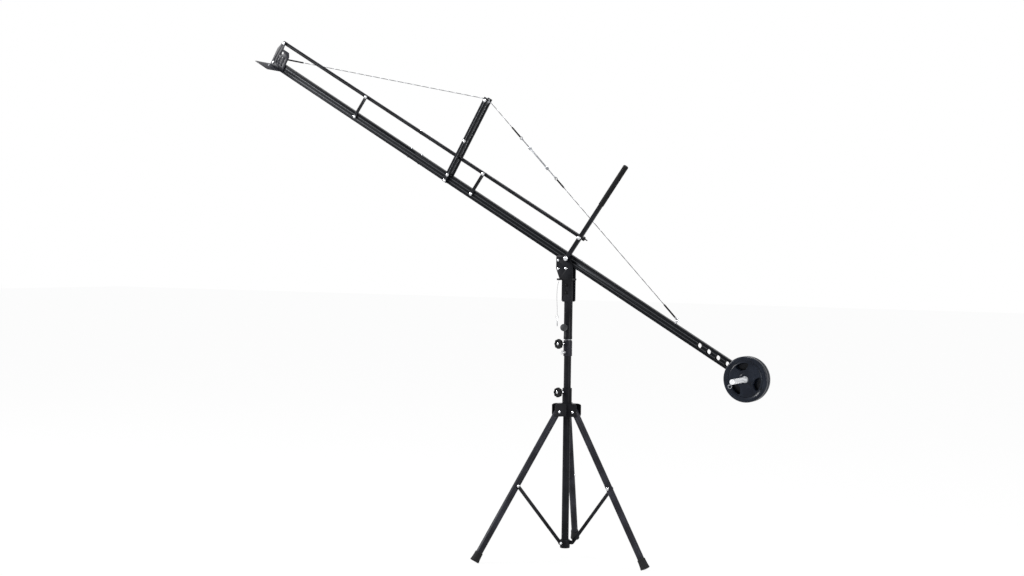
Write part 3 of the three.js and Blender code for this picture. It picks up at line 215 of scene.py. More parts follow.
class Finish:
    """One material: its tree, its shader and the patterns that feed it."""

    def __init__(self, name, **constants):
        self.material = bpy.data.materials.new(name)
        self.material.use_nodes = True
        self.tree = self.material.node_tree
        self.shader = self.tree.nodes["Principled BSDF"]
        for key, value in constants.items():
            self.shader.inputs[key.replace("_", " ")].default_value = value

    def node(self, kind, output=0, settings=None, **inputs):
        """A node's output, by name or number, as a sum."""
        made = add_node(self.tree, "ShaderNode" + kind, settings, inputs)
        return Sum(self.tree, made.outputs[output])

    def place(self, source="made", stretch=(1, 1, 1)):
        """Coordinates in metres: the piece's own, kept in its attribute, or the object's."""
        if source == "object":
            found = self.node("TexCoord", "Object")
        else:
            found = self.node("Attribute", "Vector", {"attribute_name": source})
        return self.node("Mapping", Vector=found, Scale=stretch)

    def noise(self, where, scale, detail=2.0, roughness=0.5):
        return self.node("TexNoise", "Fac", Vector=where, Scale=scale, Detail=detail, Roughness=roughness)

    def step(self, value, low, high):
        """0 below low, 1 above high, and smooth between them."""
        smooth = {"interpolation_type": "SMOOTHSTEP"}
        return self.node("MapRange", "Result", smooth, Value=value, From_Min=low, From_Max=high)

    def tint(self, dark, light, share):
        """From dark, a colour or a sum, to light as the share grows from 0 to 1."""
        below = dark if isinstance(dark, Sum) else (*dark, 1)
        return self.node("Mix", 2, {"data_type": "RGBA"}, Factor=share, _6=below, _7=(*light, 1))

    def done(self, height, strength, distance, **values):
        """Feeds the shader these values and a bump of that height, and hands back the material."""
        values["Normal"] = self.node("Bump", Height=height, Strength=strength, Distance=distance)
        for key, value in values.items():
            fill(self.tree, self.shader.inputs[key.replace("_", " ")], value)
        return self.material


# %% [markdown]
# ## Finishes
# The crane is nearly all black, so what tells its parts apart is how they take the light: powder coat has
# a fine skin like orange peel, an anodised extrusion shows its draw lines, moulded knobs have a faint
# grain, rubber is dull and picks up dust. Chrome and bare steel give the bright points.

# %% Black coats
POWDER = ((0.004, 0.0042, 0.0055), (0.010, 0.0105, 0.013))
GREY_POWDER = ((0.01, 0.01, 0.013), (0.022, 0.0225, 0.029))


def powder_coat(name, colours=POWDER):
    f = Finish(name, Metallic=0.0, Coat_Roughness=0.34, Specular_IOR_Level=0.07)
    where = f.place()
    peel = f.noise(where, 900, 3)
    broad = f.noise(where, 9, 3)
    scuff = f.step(f.noise(where, 60, 6, 0.7), 0.62, 0.74)
    colour = f.tint(*colours, f.step(broad, 0.35, 0.7))
    colour = f.tint(colour, (0.04, 0.042, 0.046), scuff * 0.3)
    rough = 0.34 + broad * 0.1 + scuff * 0.12
    return f.done(peel, 0.22, 0.0004, Base_Color=colour, Roughness=rough, Coat_Weight=0.02 + broad * 0.03)


def anodised_black(name, across, middle, offset):
    """Black anodising, with a painted highlight along each groove at that offset from the middle across the
    bar.
    """
    f = Finish(name, Metallic=0.4, Specular_IOR_Level=0.08)
    where = f.place()
    aside = f.node("SeparateXYZ", across, Vector=where) - middle
    # Painted highlight: a narrow band along each groove, where its slanted walls would catch the top light.
    groove = 1 - f.step(abs(abs(aside) - offset), 0.0008, 0.0026)
    lines = f.noise(f.place(stretch=(3, 900, 900)), 1.0, 4, 0.6)
    broad = f.noise(where, 5)
    rub = f.step(f.noise(f.place(stretch=(10, 60, 60)), 1.0, 5, 0.7), 0.6, 0.78)
    colour = f.tint((0.0035, 0.004, 0.005), (0.009, 0.0096, 0.0115), f.step(lines, 0.3, 0.75))
    colour = f.tint(colour, (0.03, 0.031, 0.035), rub * 0.3)
    # The groove band is tinted pale: this is painted highlight.
    colour = f.tint(colour, (0.07, 0.072, 0.077), groove * (0.7 + lines * 0.2))
    return f.done(lines, 0.12, 0.0003, Base_Color=colour, Roughness=0.24 + lines * 0.14 + broad * 0.06)


def plate_coat(name):
    f = Finish(name, Metallic=0.0, Specular_IOR_Level=0.08, Coat_Roughness=0.2)
    where = f.place()
    grain = f.noise(where, 650, 4, 0.6)
    broad = f.noise(where, 14, 3)
    rub = f.step(f.noise(where, 90, 6, 0.7), 0.6, 0.78)
    colour = f.tint((0.003, 0.0045, 0.009), (0.008, 0.011, 0.018), f.step(broad, 0.3, 0.7))
    colour = f.tint(colour, (0.045, 0.052, 0.065), rub * 0.3)
    rough = 0.24 + broad * 0.1 + grain * 0.08
    return f.done(grain, 0.16, 0.0004, Base_Color=colour, Roughness=rough, Coat_Weight=0.12 + broad * 0.06)


# %% Bright metals
def chrome_plate(name):
    f = Finish(name, Metallic=1.0)
    where = f.place()
    smudge = f.noise(where, 70, 4, 0.6)
    pits = f.step(f.noise(where, 1400), 0.66, 0.75)
    colour = f.tint((0.72, 0.73, 0.75), (0.48, 0.485, 0.5), f.step(smudge, 0.4, 0.75))
    return f.done(smudge, 0.04, 0.0004, Base_Color=colour, Roughness=0.09 + smudge * 0.14 + pits * 0.12)


def satin_nickel(name):
    """A brushed plating that scatters most of its light, so it stays bright where a mirror would go dark."""
    f = Finish(name, Metallic=0.3)
    brushed = f.noise(f.place(stretch=(400, 12, 400)), 1.0, 4, 0.6)
    broad = f.noise(f.place(), 30, 3)
    colour = f.tint((0.6, 0.61, 0.63), (0.8, 0.81, 0.83), f.step(brushed, 0.3, 0.7))
    return f.done(brushed, 0.08, 0.0002, Base_Color=colour, Roughness=0.3 + broad * 0.14)


def bare_steel(name, dark, light, source="made"):
    f = Finish(name, Metallic=1.0)
    where = f.place(source)
    grain = f.noise(where, 400, 5, 0.65)
    spots = f.step(f.noise(where, 45, 4), 0.58, 0.75)
    colour = f.tint(f.tint(dark, light, grain), (0.2, 0.19, 0.18), spots * 0.4)
    return f.done(grain, 0.1, 0.0003, Base_Color=colour, Roughness=0.28 + grain * 0.2 + spots * 0.1)


# %% Plastics and rubbers
def moulded(name, dark, light, rough=0.45, pebble=1500):
    f = Finish(name, Metallic=0.0, Specular_IOR_Level=0.08)
    where = f.place()
    wear = f.noise(where, 40, 5, 0.6)
    colour = f.tint(dark, light, f.step(wear, 0.4, 0.75))
    grain = f.node("TexVoronoi", "Distance", Vector=where, Scale=pebble)
    return f.done(grain, 0.2, 0.0002, Base_Color=colour, Roughness=rough + wear * 0.14)


def soft_rubber(name, dark, light, dust):
    f = Finish(name, Metallic=0.0, Specular_IOR_Level=0.12)
    where = f.place()
    skin = f.noise(where, 800, 4, 0.6)
    broad = f.noise(where, 25, 4)
    powder = f.step(f.noise(where, 120, 6, 0.75), 0.58, 0.8)
    colour = f.tint(f.tint(dark, light, broad), dust, powder * 0.22)
    return f.done(skin, 0.3, 0.0003, Base_Color=colour, Roughness=0.62 + broad * 0.16 + powder * 0.1)


# %% The finishes
STEEL = ((0.3, 0.31, 0.33), (0.46, 0.47, 0.49))
FINISH = {
    "powder": powder_coat("powder_coat"),
    "leg": powder_coat("leg_coat", GREY_POWDER),
    # The boom and mast anodising carry a painted highlight along their grooves.
    "anodised": anodised_black("boom_anodising_groove_highlight", "Z", 0.0, 0.0085),
    "mast": anodised_black("mast_anodising_groove_highlight", "X", MAST_PLACE * 0.001, 0.0),
    "plate": plate_coat("plate_coat"),
    "chrome": chrome_plate("chrome_plate"),
    "satin": satin_nickel("satin_nickel"),
    "steel": bare_steel("bare_steel", *STEEL),
    "rope": bare_steel("rope_steel", (0.09, 0.092, 0.1), (0.2, 0.205, 0.215)),
    "zinc": bare_steel("dull_zinc", (0.14, 0.145, 0.155), (0.3, 0.31, 0.33)),
    "lanyard": bare_steel("lanyard_steel", (0.1, 0.1, 0.11), (0.22, 0.225, 0.235), "object"),
    "splice": bare_steel("bare_steel_cad", *STEEL, "object"),
    "plastic": moulded("knob_plastic", (0.004, 0.004, 0.0045), (0.010, 0.010, 0.011)),
    "ball": moulded("ball_plastic", (0.038, 0.039, 0.041), (0.062, 0.063, 0.067), 0.38),
    "sleeve": moulded("cable_sleeve", (0.003, 0.003, 0.0035), (0.009, 0.009, 0.010), 0.36, 900),
    "rubber": soft_rubber("foot_rubber", (0.006, 0.006, 0.0065), (0.014, 0.014, 0.0145), (0.05, 0.049, 0.047)),
    "grip": soft_rubber("grip_rubber", (0.003, 0.003, 0.0035), (0.008, 0.008, 0.009), (0.03, 0.03, 0.03)),
}
print(len(FINISH), "finishes")

# %% [markdown]
# Every CAD node but the two splice inserts inside the boom gets a finer stand-in below. Those two stay,
# so their finish goes straight onto the CAD mesh.

# %% Finish of the CAD nodes
for node in frame["nodes"].values():
    node.data.materials.clear()
    node.data.materials.append(FINISH["splice"])

# %% [markdown]
# ## Shapes
# Four ways cover nearly all of the crane. Turned shapes come from a profile spun about an axis, flat
# shapes from an outline given a thickness, drilled shapes from cutting one with others, and repeated or
# swept shapes from Geometry Nodes. Sharp edges get a small round, because a real edge always catches a
# line of light.

# %% Ways to turn a shape that was drawn along Z
ALONG_X = turn(90, "Y")
ALONG_Y = turn(-90, "X")
NEAR = turn(90, "X")
FAR = ALONG_Y
X_TO_Z = ALONG_X.inverted()


def moved(mesh, *matrices):
    for matrix in matrices:
        mesh.transform(matrix)
    return mesh


def polar(radius, degrees):
    return radius * cos(radians(degrees)), radius * sin(radians(degrees))


def arc(x, z, radius, start, stop, steps=10):
    """Points on a circle from one angle to another, in degrees, counted from X towards Z."""
    spots = [polar(radius, start + (stop - start) * i / steps) for i in range(steps + 1)]
    return [(x + across, z + up) for across, up in spots]


# %% Turned and flat shapes, in millimetres
def mesh_of(points, faces):
    mesh = bpy.data.meshes.new("shape")
    mesh.from_pydata(points, [], faces)
    return mesh


def turned(profile, steps=48):
    """A body spun about Z from (radius, height) points, from the bottom of its axis to the top, or closed."""
    closed = profile[0] == profile[-1] and profile[0][0] > 0
    points, rings = [], []
    for radius, height in profile[:-1] if closed else profile:
        count = steps if radius else 1
        rings.append(range(len(points), len(points) + count))
        points += [(*polar(radius, 360 * i / steps), height) for i in range(count)]
    if closed:
        rings.append(rings[0])
    faces = []
    for low, high in zip(rings, rings[1:]):
        for i in range(steps):
            around = ((low, i), (low, i + 1), (high, i + 1), (high, i))
            faces.append(list(dict.fromkeys(row[k % steps % len(row)] for row, k in around)))
    return mesh_of(points, faces)


def wall(radius, low, high, soft):
    """The profile of a round wall, with a chamfer of that size at both ends."""
    corners = [(radius - soft, low), (radius, low + soft), (radius, high - soft), (radius - soft, high)]
    return corners if soft else corners[::2]


def rod(radius, low, high, steps=32, soft=0.0):
    return turned([(0, low), *wall(radius, low, high, soft), (0, high)], steps)


def ring(inner, outer, low, high, steps=32, soft=0.0):
    return turned([(inner, low), *wall(outer, low, high, soft), (inner, high), (inner, low)], steps)


def torus(radius, wire, steps=32, around=12):
    """A ring of round wire about Z."""
    profile = arc(radius, 0, wire, 0, 360, around)[:-1]
    return turned([*profile, profile[0]], steps)


def prism(low, high):
    """The closed shape between two rings of the same number of points."""
    count = len(low)
    sides = [[i, (i + 1) % count, (i + 1) % count + count, i + count] for i in range(count)]
    mesh = mesh_of([*low, *high], [list(range(count)), list(range(2 * count - 1, count - 1, -1)), *sides])
    work = bmesh.new()
    work.from_mesh(mesh)
    bmesh.ops.recalc_face_normals(work, faces=work.faces)
    work.to_mesh(mesh)
    work.free()
    return mesh


def flat(outline, low, high):
    """An outline of (x, z) points given a thickness along Y."""
    return prism([(x, low, z) for x, z in outline], [(x, high, z) for x, z in outline])


def brick(x0, x1, y0, y1, z0, z1):
    return flat([(x0, z0), (x1, z0), (x1, z1), (x0, z1)], y0, y1)


def bore(radius, low, high, x=0.0, z=0.0, steps=32, soft=0.0):
    """A round bar along Y, to drill with or to stay."""
    return moved(rod(radius, low, high, steps, soft), ALONG_Y, shift(x, 0, z))


# %% Joining and cutting
def one(*meshes):
    """Several shapes as one mesh."""
    whole = bmesh.new()
    for mesh in meshes:
        whole.from_mesh(mesh)
        bpy.data.meshes.remove(mesh)
    mesh = bpy.data.meshes.new("shape")
    whole.to_mesh(mesh)
    whole.free()
    return mesh


def settled(obj):
    """The evaluated object as a plain mesh."""
    depsgraph = bpy.context.evaluated_depsgraph_get()
    return bpy.data.meshes.new_from_object(obj.evaluated_get(depsgraph))


def discard(obj):
    shape = obj.data
    bpy.data.objects.remove(obj)
    bpy.data.meshes.remove(shape)


BEVEL_FROM = radians(32)


def machined(mesh, cutters=(), soft=0.0, steps=2, joined=(), kept=()):
    """A shape with others joined to it or cut out of it, or kept only inside them, and its edges rounded."""
    body = placed("work", mesh)
    spare = [body]
    for operation, tools in (("UNION", joined), ("INTERSECT", kept), ("DIFFERENCE", cutters)):
        for tool in tools:
            spare.append(placed("work", tool))
            cut = body.modifiers.new("cut", "BOOLEAN")
            cut.operation = operation
            cut.solver = "EXACT"
            cut.object = spare[-1]
    if soft:
        rounding = body.modifiers.new("edges", "BEVEL")
        rounding.width = soft
        rounding.segments = steps
        rounding.limit_method = "ANGLE"
        rounding.angle_limit = BEVEL_FROM
        rounding.use_clamp_overlap = True
    made = settled(body)
    for obj in spare:
        discard(obj)
    return made


# %% [markdown]
# A finished piece is one object that sits at the origin with its place in its mesh. It also keeps an
# attribute named made: each point's place in the frame it was drawn in. The finishes read it, so the
# draw lines of the boom run along the boom, whatever its slope. The piece stands in for one CAD node, so
# it moves with that node's body, which the record names.

# %% A finished piece
SMOOTH_ANGLE = radians(38)
BODY_OF = {node: body for body, nodes in frame["record"]["behaviour"]["bodies"].items() for node in nodes}


def piece(name, node, place, parts):
    """The stand-in for a CAD node, of (shape, finish) parts in millimetres in the place's frame."""
    mesh = bpy.data.meshes.new(name)
    work = bmesh.new()
    finishes = list(dict.fromkeys(finish for _, finish in parts))
    for shape, finish in parts:
        before = len(work.faces)
        work.from_mesh(shape)
        work.faces.ensure_lookup_table()
        for face in work.faces[before:]:
            face.material_index = finishes.index(finish)
            face.smooth = True
        bpy.data.meshes.remove(shape)
    work.to_mesh(mesh)
    work.free()
    for finish in finishes:
        mesh.materials.append(FINISH[finish])
    made = mesh.attributes.new("made", "FLOAT_VECTOR", "POINT")
    for point, value in zip(mesh.vertices, made.data):
        value.vector = point.co * 0.001
    mesh.transform(place)
    mesh.set_sharp_from_angle(angle=SMOOTH_ANGLE)
    obj = placed(name, mesh)
    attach(obj, BODY_OF[node])
    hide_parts(node)
    return obj


# %% [markdown]
# ## Geometry Nodes
# What repeats or follows a line is a node tree, because its count and pitch are then inputs, not copied
# code. `Tree` keeps that short: it names the inputs, makes the nodes, ends in Realize Instances and Set
# Material, and hands back a plain mesh.

# %% A small builder for node trees
class Tree:
    """A Geometry Nodes tree with named inputs."""

    def __init__(self, name, **inputs):
        self.group = bpy.data.node_groups.new(name, "GeometryNodeTree")
        self.group.interface.new_socket("Geometry", in_out="OUTPUT", socket_type="NodeSocketGeometry")
        self.values = inputs
        self.sockets = {}
        for key, value in inputs.items():
            kind = "NodeSocketInt" if isinstance(value, int) else "NodeSocketFloat"
            self.sockets[key] = self.group.interface.new_socket(key, in_out="INPUT", socket_type=kind)
        self.entry = self.group.nodes.new("NodeGroupInput")

    def node(self, kind, settings=None, **inputs):
        """A node's outputs. A string as a value names one of the tree's own inputs."""
        wired = {k: self.entry.outputs[v] if isinstance(v, str) else v for k, v in inputs.items()}
        return add_node(self.group, kind, settings, wired).outputs

    def math(self, operation, first, second=0.0):
        return self.node("ShaderNodeMath", {"operation": operation}, _0=first, _1=second)[0]

    def vector(self, **parts):
        return self.node("ShaderNodeCombineXYZ", **parts)[0]

    def close(self, geometry):
        """Ends the tree in this geometry, as real faces with a material."""
        real = self.node("GeometryNodeRealizeInstances", _0=geometry)[0]
        finish = self.node("GeometryNodeSetMaterial", Geometry=real, Material=FINISH["steel"])[0]
        self.node("NodeGroupOutput", _0=finish)
        return self

    def mesh(self, **values):
        """Runs the tree with these input values and returns a plain mesh, in millimetres."""
        holder = placed("work", bpy.data.meshes.new("work"))
        modifier = holder.modifiers.new("tree", "NODES")
        modifier.node_group = self.group
        for key, socket in self.sockets.items():
            modifier[socket.identifier] = values.get(key, self.values[key])
        made = settled(holder)
        holder.modifiers.remove(modifier)
        discard(holder)
        made.materials.clear()
        return made


# %% [markdown]
# ### Wire rope
# The boom is kept straight by a steel rope over a mast, like a bridge. A rope is six strands laid round a
# core, so its surface is a set of helices. The tree draws straight lines, one per strand, then pushes
# each round the rope's axis by an angle that grows with its length.

# %% Wire rope along X
STRAND_REACH = 0.66
STRAND_SIZE = 0.36
CORE_SIZE = 0.6
STEPS_PER_TURN = 9


def rope_tree():
    t = Tree("wire_rope", length=1000.0, radius=2.0, lay=22.0, strands=6, steps=400)
    step = t.math("DIVIDE", "length", t.math("SUBTRACT", "steps", 1.0))
    line = t.node("GeometryNodeMeshLine", {"mode": "OFFSET"}, Count="steps", Offset=t.vector(X=step))
    curve = t.node("GeometryNodeMeshToCurve", Mesh=line[0])[0]
    copies = t.node("GeometryNodeDuplicateElements", {"domain": "SPLINE"}, Geometry=curve, Amount="strands")
    along = t.node("ShaderNodeSeparateXYZ", Vector=t.node("GeometryNodeInputPosition")[0])[0]
    share = t.math("DIVIDE", copies[1], "strands")
    angle = t.math("MULTIPLY", t.math("ADD", share, t.math("DIVIDE", along, "lay")), 2 * pi)
    reach = t.math("MULTIPLY", "radius", STRAND_REACH)
    y, z = (t.math("MULTIPLY", t.math(way, angle), reach) for way in ("COSINE", "SINE"))
    laid = t.node("GeometryNodeSetPosition", Geometry=copies[0], Offset=t.vector(Y=y, Z=z))[0]
    size = t.math("MULTIPLY", "radius", STRAND_SIZE)
    wire = t.node("GeometryNodeCurvePrimitiveCircle", Resolution=6, Radius=size)[0]
    return t.close(t.node("GeometryNodeCurveToMesh", Curve=laid, Profile_Curve=wire, Fill_Caps=True)[0])


rope = rope_tree()
ROPE = 2.0
ROPE_LAY = 20.0


def wire_rope(start, stop):
    """Wire rope along X from start to stop, and the round core inside it."""
    length = stop - start
    steps = int(length / ROPE_LAY * STEPS_PER_TURN)
    strands = rope.mesh(length=length, radius=ROPE, lay=ROPE_LAY, steps=steps)
    core = moved(rod(ROPE * CORE_SIZE, 0, length, 8), ALONG_X)
    return moved(one(strands, core), shift(x=start))


sample = wire_rope(0, 100.0)
print("100 mm of rope has", len(sample.polygons), "faces")
bpy.data.meshes.remove(sample)

# %% [markdown]
# ### Extrusions
# The boom is aluminium pushed through a die, so it has the same section all along: a rounded box with
# grooves in its broad sides. The mast's bars come from the same die maker's smaller section.

# %% Extruded bars along X
GROOVE_SLOPE = 0.5


def section_outline(height, width, corner, offsets=(), groove=0.0, depth=0.0):
    """Points of a rounded section with grooves in its broad faces, as (y, z), counted round once."""
    h, w, half = height / 2 - corner, width / 2 - corner, groove / 2
    side = []
    for offset in offsets:
        left, right = offset - half, offset + half
        side += [(left, 0), (left + GROOVE_SLOPE, depth), (right - GROOVE_SLOPE, depth), (right, 0)]
    corners = arc(0, 0, corner, 0, 90, 4)
    face = width / 2
    return [
        *((w + x, h + z) for x, z in corners),
        *((-w - z, h + x) for x, z in corners),
        *((deep - face, -z) for z, deep in side),
        *((-w - x, -h - z) for x, z in corners),
        *((w + z, -h - x) for x, z in corners),
        *((face - deep, z) for z, deep in side),
    ]


def extruded(outline, start, stop, hollow=None):
    """A bar along X with this section of (y, z) points, and a square bore of (half width, half height)."""
    bar = prism([(start, y, z) for y, z in outline], [(stop, y, z) for y, z in outline])
    if hollow is None:
        return bar
    w, h = hollow
    return machined(bar, [brick(start - 5, stop + 5, -w, w, -h, h)])


BOOM_SECTION = section_outline(50.8, 25.4, 2.0, (-8.5, 8.5), 4.2, 1.2)
MAST_SECTION = section_outline(25.4, 12.7, 1.2, (0.0,), 4.0, 1.0)
print("boom section has", len(BOOM_SECTION), "points")

# %% [markdown]
# ## Boom
# Three lengths of extrusion butt together over inner splices. They are drilled for the pivots, the mast,
# the links and, at the tail, a row of holes that take the weight bar. The open ends are closed with
# black plugs.

# %% Boom sections
BOOM_HALF = (12.7, 25.4)
SECTION_LENGTH = 1134
SPLICES = (29 - SECTION_LENGTH, 29)
BOOM_FRONT = SPLICES[0] - SECTION_LENGTH
BOOM_TAIL = SPLICES[1] + 1154
SPLICE_BOLT = 38.5
BAR_PLACE = BOOM_TAIL - 28
TAIL_HOLES = [*(850 + 57 * i for i in range(5)), BAR_PLACE]
REAR_EYE = (682, 45)
ANCHOR = (-2190, 17.0, 43)
ANCHOR_SCREWS = (12, -12)
MAST_BOLTS = {
    "mast_foot_bolt_upper": 18, "mast_foot_bolt_lower": -18, "mast_middle_bolt": 226, "mast_top_bolt": 473.7,
}
WALL = 2.2
CAP = 2.5
CLEAR = 0.3
BOLT_HOLE = 4.3
TILT_HOLE = 6.3
SPLICE_HOLE = 3.8

sections = {
    "boom_front": (BOOM_FRONT + CAP, SPLICES[0] - CLEAR, BOOM_FRONT, [
        (5.3, HEAD_PLACE, 0), (BOLT_HOLE, LINK_PLACES[0], 0), *((3.3, ANCHOR[0], z) for z in ANCHOR_SCREWS),
    ]),
    "boom_middle": (SPLICES[0] + CLEAR, SPLICES[1] - CLEAR, None, [
        (BOLT_HOLE, LINK_PLACES[1], 0), *((BOLT_HOLE, MAST_PLACE, z) for z in (18, -18)), (TILT_HOLE, 0, 0),
    ]),
    "boom_rear": (SPLICES[1] + CLEAR, BOOM_TAIL - CAP, BOOM_TAIL - CAP, [(13.4, x, 0) for x in TAIL_HOLES]),
}
splice_bolts = [place + side * SPLICE_BOLT for place in SPLICES for side in (-1, 1)]
for name, (start, stop, cap, drills) in sections.items():
    bar = extruded(BOOM_SECTION, start, stop, [half - WALL for half in BOOM_HALF])
    holes = [bore(radius, -30, 30, x, z) for radius, x, z in drills]
    holes += [moved(rod(SPLICE_HOLE, -40, 40, 24), shift(x=x)) for x in splice_bolts if start < x < stop]
    if name == "boom_rear":
        holes.append(moved(rod(SPLICE_HOLE, 0, 40, 24), shift(x=REAR_EYE[0])))
    parts = [(machined(bar, holes, 0.35, 1), "anodised")]
    if cap:
        parts.append((machined(brick(cap, cap + CAP, -12.5, 12.5, -25.2, 25.2), soft=1.0), "plastic"))
    piece(name + "_extrusion", name, BOOM, parts)

# %% [markdown]
# ## Bolts
# Every pivot and joint shows its bolt, and the bright heads are what the eye finds first on a black
# crane. A head is domed or six sided with a chamfer, on a thin washer, and the far end carries a lock
# nut with its nylon ring.

# %% Bolt parts, drawn along Z with their seat at 0
def hexagon(radius, height):
    """A six sided nut or head, with its corners turned off."""
    body = moved(flat(arc(0, 0, radius, 0, 300, 5), 0, height), NEAR)
    wide, shoulder = radius * 1.3, height - radius * 0.3
    cone = turned([(0, -1), (wide, -1), (wide, shoulder), (radius * 0.86, height), (0, height)], 36)
    return machined(body, kept=[cone])


def dome(radius, height):
    """A low round head, flat underneath."""
    rim = height * 0.25
    crown = [(radius * cos(radians(a)), rim + (height - rim) * sin(radians(a))) for a in range(12, 90, 12)]
    return turned([(0, 0), (radius, 0), (radius, rim), *crown, (0, height)], 36)


def socket_head(radius, height):
    """A cap head with a six sided socket."""
    key = moved(flat(arc(0, 0, radius * 0.5, 0, 300, 5), -height - 1, -height * 0.45), FAR)
    return machined(rod(radius, 0, height, 36, radius * 0.12), [key])


def lock_nut(radius, height):
    return one(hexagon(radius, height * 0.7), rod(radius * 0.72, height * 0.6, height, 28, height * 0.14))


def washer(hole, radius, thick=1.0):
    return ring(hole, radius, 0, thick, 36, 0.3)


def seated(head, hole, radius, thick=1.0):
    """A head or nut on its washer."""
    return one(washer(hole, radius, thick), moved(head, shift(z=thick)))


HEAD_SHARE = 0.86


def cross_bolt(near, far, x=0.0, z=0.0, radius=4, wide=9, height=5, finish="chrome"):
    """A bolt along Y: head at the near face, lock nut at the far one, a washer under both."""
    size = (wide * HEAD_SHARE, height - 1.0)
    return [
        (bore(radius, -near - 1, far + height, x, z, 24, 0.5), finish),
        (moved(seated(dome(*size), radius, wide), NEAR, shift(x, -near, z)), finish),
        (moved(seated(lock_nut(*size), radius, wide), FAR, shift(x, far, z)), finish),
    ]


# %% Saddle bolts, mast bolts and the tilt bolt
SLEEVE_RADIUS = 22.7
SADDLE_IN = SLEEVE_RADIUS + CLEAR
SADDLE_OUT = SADDLE_IN + 5
SADDLE_BOLTS = {"saddle_bolt_lower": 1387, "saddle_bolt_upper": 1428}
for name, height in SADDLE_BOLTS.items():
    face = SADDLE_OUT + CLEAR
    parts = cross_bolt(face, face, z=height, wide=8, height=6, finish="plastic")
    piece(name + "_set", name, STAND, parts)

MAST_WIDTH = 12.7
MAST_FACE = BOOM_HALF[0] + MAST_WIDTH + 0.6
half_spool = [(8, 4), (8.2, 8), (12, 10.6), (12, 12.6), (4.2, 12.6)]
spool = [(r, -z) for r, z in reversed(half_spool)]
between = {
    "mast_middle_bolt": ring(4.2, 7, -BOOM_HALF[0], BOOM_HALF[0]),
    "mast_top_bolt": turned([*spool, *half_spool, spool[0]], 40),
}
for name, height in MAST_BOLTS.items():
    parts = cross_bolt(MAST_FACE, MAST_FACE, MAST_PLACE, height)
    if name in between:
        parts.append((moved(between[name], ALONG_Y, shift(MAST_PLACE, 0, height)), "steel"))
    piece(name + "_set", name, BOOM, parts)

LEVER_FACE = 41.2
EAR_IN = 15.5
EAR_OUT = EAR_IN + 5
parts = [
    (bore(6, -LEVER_FACE - 2, EAR_OUT + 8, steps=28, soft=0.6), "chrome"),
    (moved(seated(dome(11, 7), 6, 12.5, 1.5), NEAR, shift(y=-LEVER_FACE - CLEAR)), "chrome"),
    (moved(seated(lock_nut(10.6, 7.5), 6, 12.4, 1.5), FAR, shift(y=EAR_OUT + CLEAR)), "chrome"),
]
for low, high in ((-15.2, -13.0), (13.0, 15.2)):
    parts.append((moved(ring(6.2, 14, low, high, 36), ALONG_Y), "steel"))
piece("tilt_bolt_set", "tilt_bolt", STAND @ shift(z=TILT_HEIGHT), parts)

# %% [markdown]
# ## Mast and truss
# The mast is a pair of slim bars, one each side of the boom, so the control rod can pass between them.
# The rope runs from a lug at the camera end, over a spool at the mast's top, through a turnbuckle that
# tightens it, to an eye bolt near the tail. Black sleeves cover the rope's crimped ends.

# %% Mast bars
for side, name in ((-1, "mast_bar_near"), (1, "mast_bar_far")):
    holes = [bore(BOLT_HOLE, -30, 30, 0, z) for z in MAST_BOLTS.values()]
    bar = machined(moved(extruded(MAST_SECTION, -25.0, 489.6), X_TO_Z), holes, 0.3, 1)
    bar.transform(shift(MAST_PLACE, side * (BOOM_HALF[0] + CLEAR + MAST_WIDTH / 2), 0))
    piece(name + "_extrusion", name, BOOM, [(bar, "mast")])

# %% Truss rope, its sleeves and its fittings
RING = 7.0
RING_WIRE = 2.0
LINKED = 2 * RING - 2 * RING_WIRE - 0.4
UPPER_EYE = 306.6
TURNBUCKLE = (366, 530)
LOWER_EYE = TURNBUCKLE[1] + 60
SPOOL_CORE = 8
ROPE_BEND = 17
CORNER_RISE = MAST_BOLTS["mast_top_bolt"] + (SPOOL_CORE + ROPE + CLEAR) / cos(radians(ROPE_BEND))
front_run = (MAST_PLACE - ANCHOR[0], CORNER_RISE - ANCHOR[2])
rear_run = (REAR_EYE[0] - MAST_PLACE, CORNER_RISE - REAR_EYE[1])
front_length = math.hypot(*front_run, ANCHOR[1])
rear_length = math.hypot(*rear_run)
CORNER = BOOM @ shift(MAST_PLACE, 0, CORNER_RISE)
front_turn = Matrix.Rotation(-math.asin(ANCHOR[1] / front_length), 4, "Z")
TO_FRONT = Matrix.Rotation(-math.atan2(*reversed(front_run)), 4, "Y") @ front_turn
TO_REAR = Matrix.Rotation(math.atan2(*reversed(rear_run)), 4, "Y")
REAR_LINE = CORNER @ TO_REAR
print("rope runs", round(front_length), "mm to the front and", round(rear_length), "mm to the rear")


def sleeve(start, stop):
    """A heat shrunk sleeve along X, drawn in at its ends."""
    radius, taper, neck, hole = 4.4, 4.4, 3.2, ROPE * 0.9
    outside = [(neck, start), (radius, start + taper), (radius, stop - taper), (neck, stop)]
    return moved(turned([(hole, start), *outside, (hole, stop), (hole, start)], 28), ALONG_X), "sleeve"


def end_ring(x, *turns):
    return moved(torus(RING, RING_WIRE), *turns, shift(x=x)), "rope"


front_ring = -(front_length - RING - (5 - RING_WIRE - 1))
upper_ring = UPPER_EYE - LINKED
bend = turned([(0, -ROPE), *arc(0, 0, ROPE, -75, 75), (0, ROPE)], 16)
ahead_parts = [
    end_ring(front_ring),
    sleeve(front_ring + RING, front_ring + RING + 130),
    (wire_rope(front_ring + RING, 0), "rope"),
]
behind_parts = [
    (wire_rope(0, upper_ring - RING), "rope"),
    sleeve(upper_ring - RING - 75, upper_ring - RING),
    end_ring(upper_ring, NEAR),
]
parts = [(moved(shape, TO_FRONT), finish) for shape, finish in ahead_parts]
parts += [(moved(shape, TO_REAR), finish) for shape, finish in behind_parts]
piece("truss_rope_front", "truss_cable_front", CORNER, [*parts, (bend, "rope")])

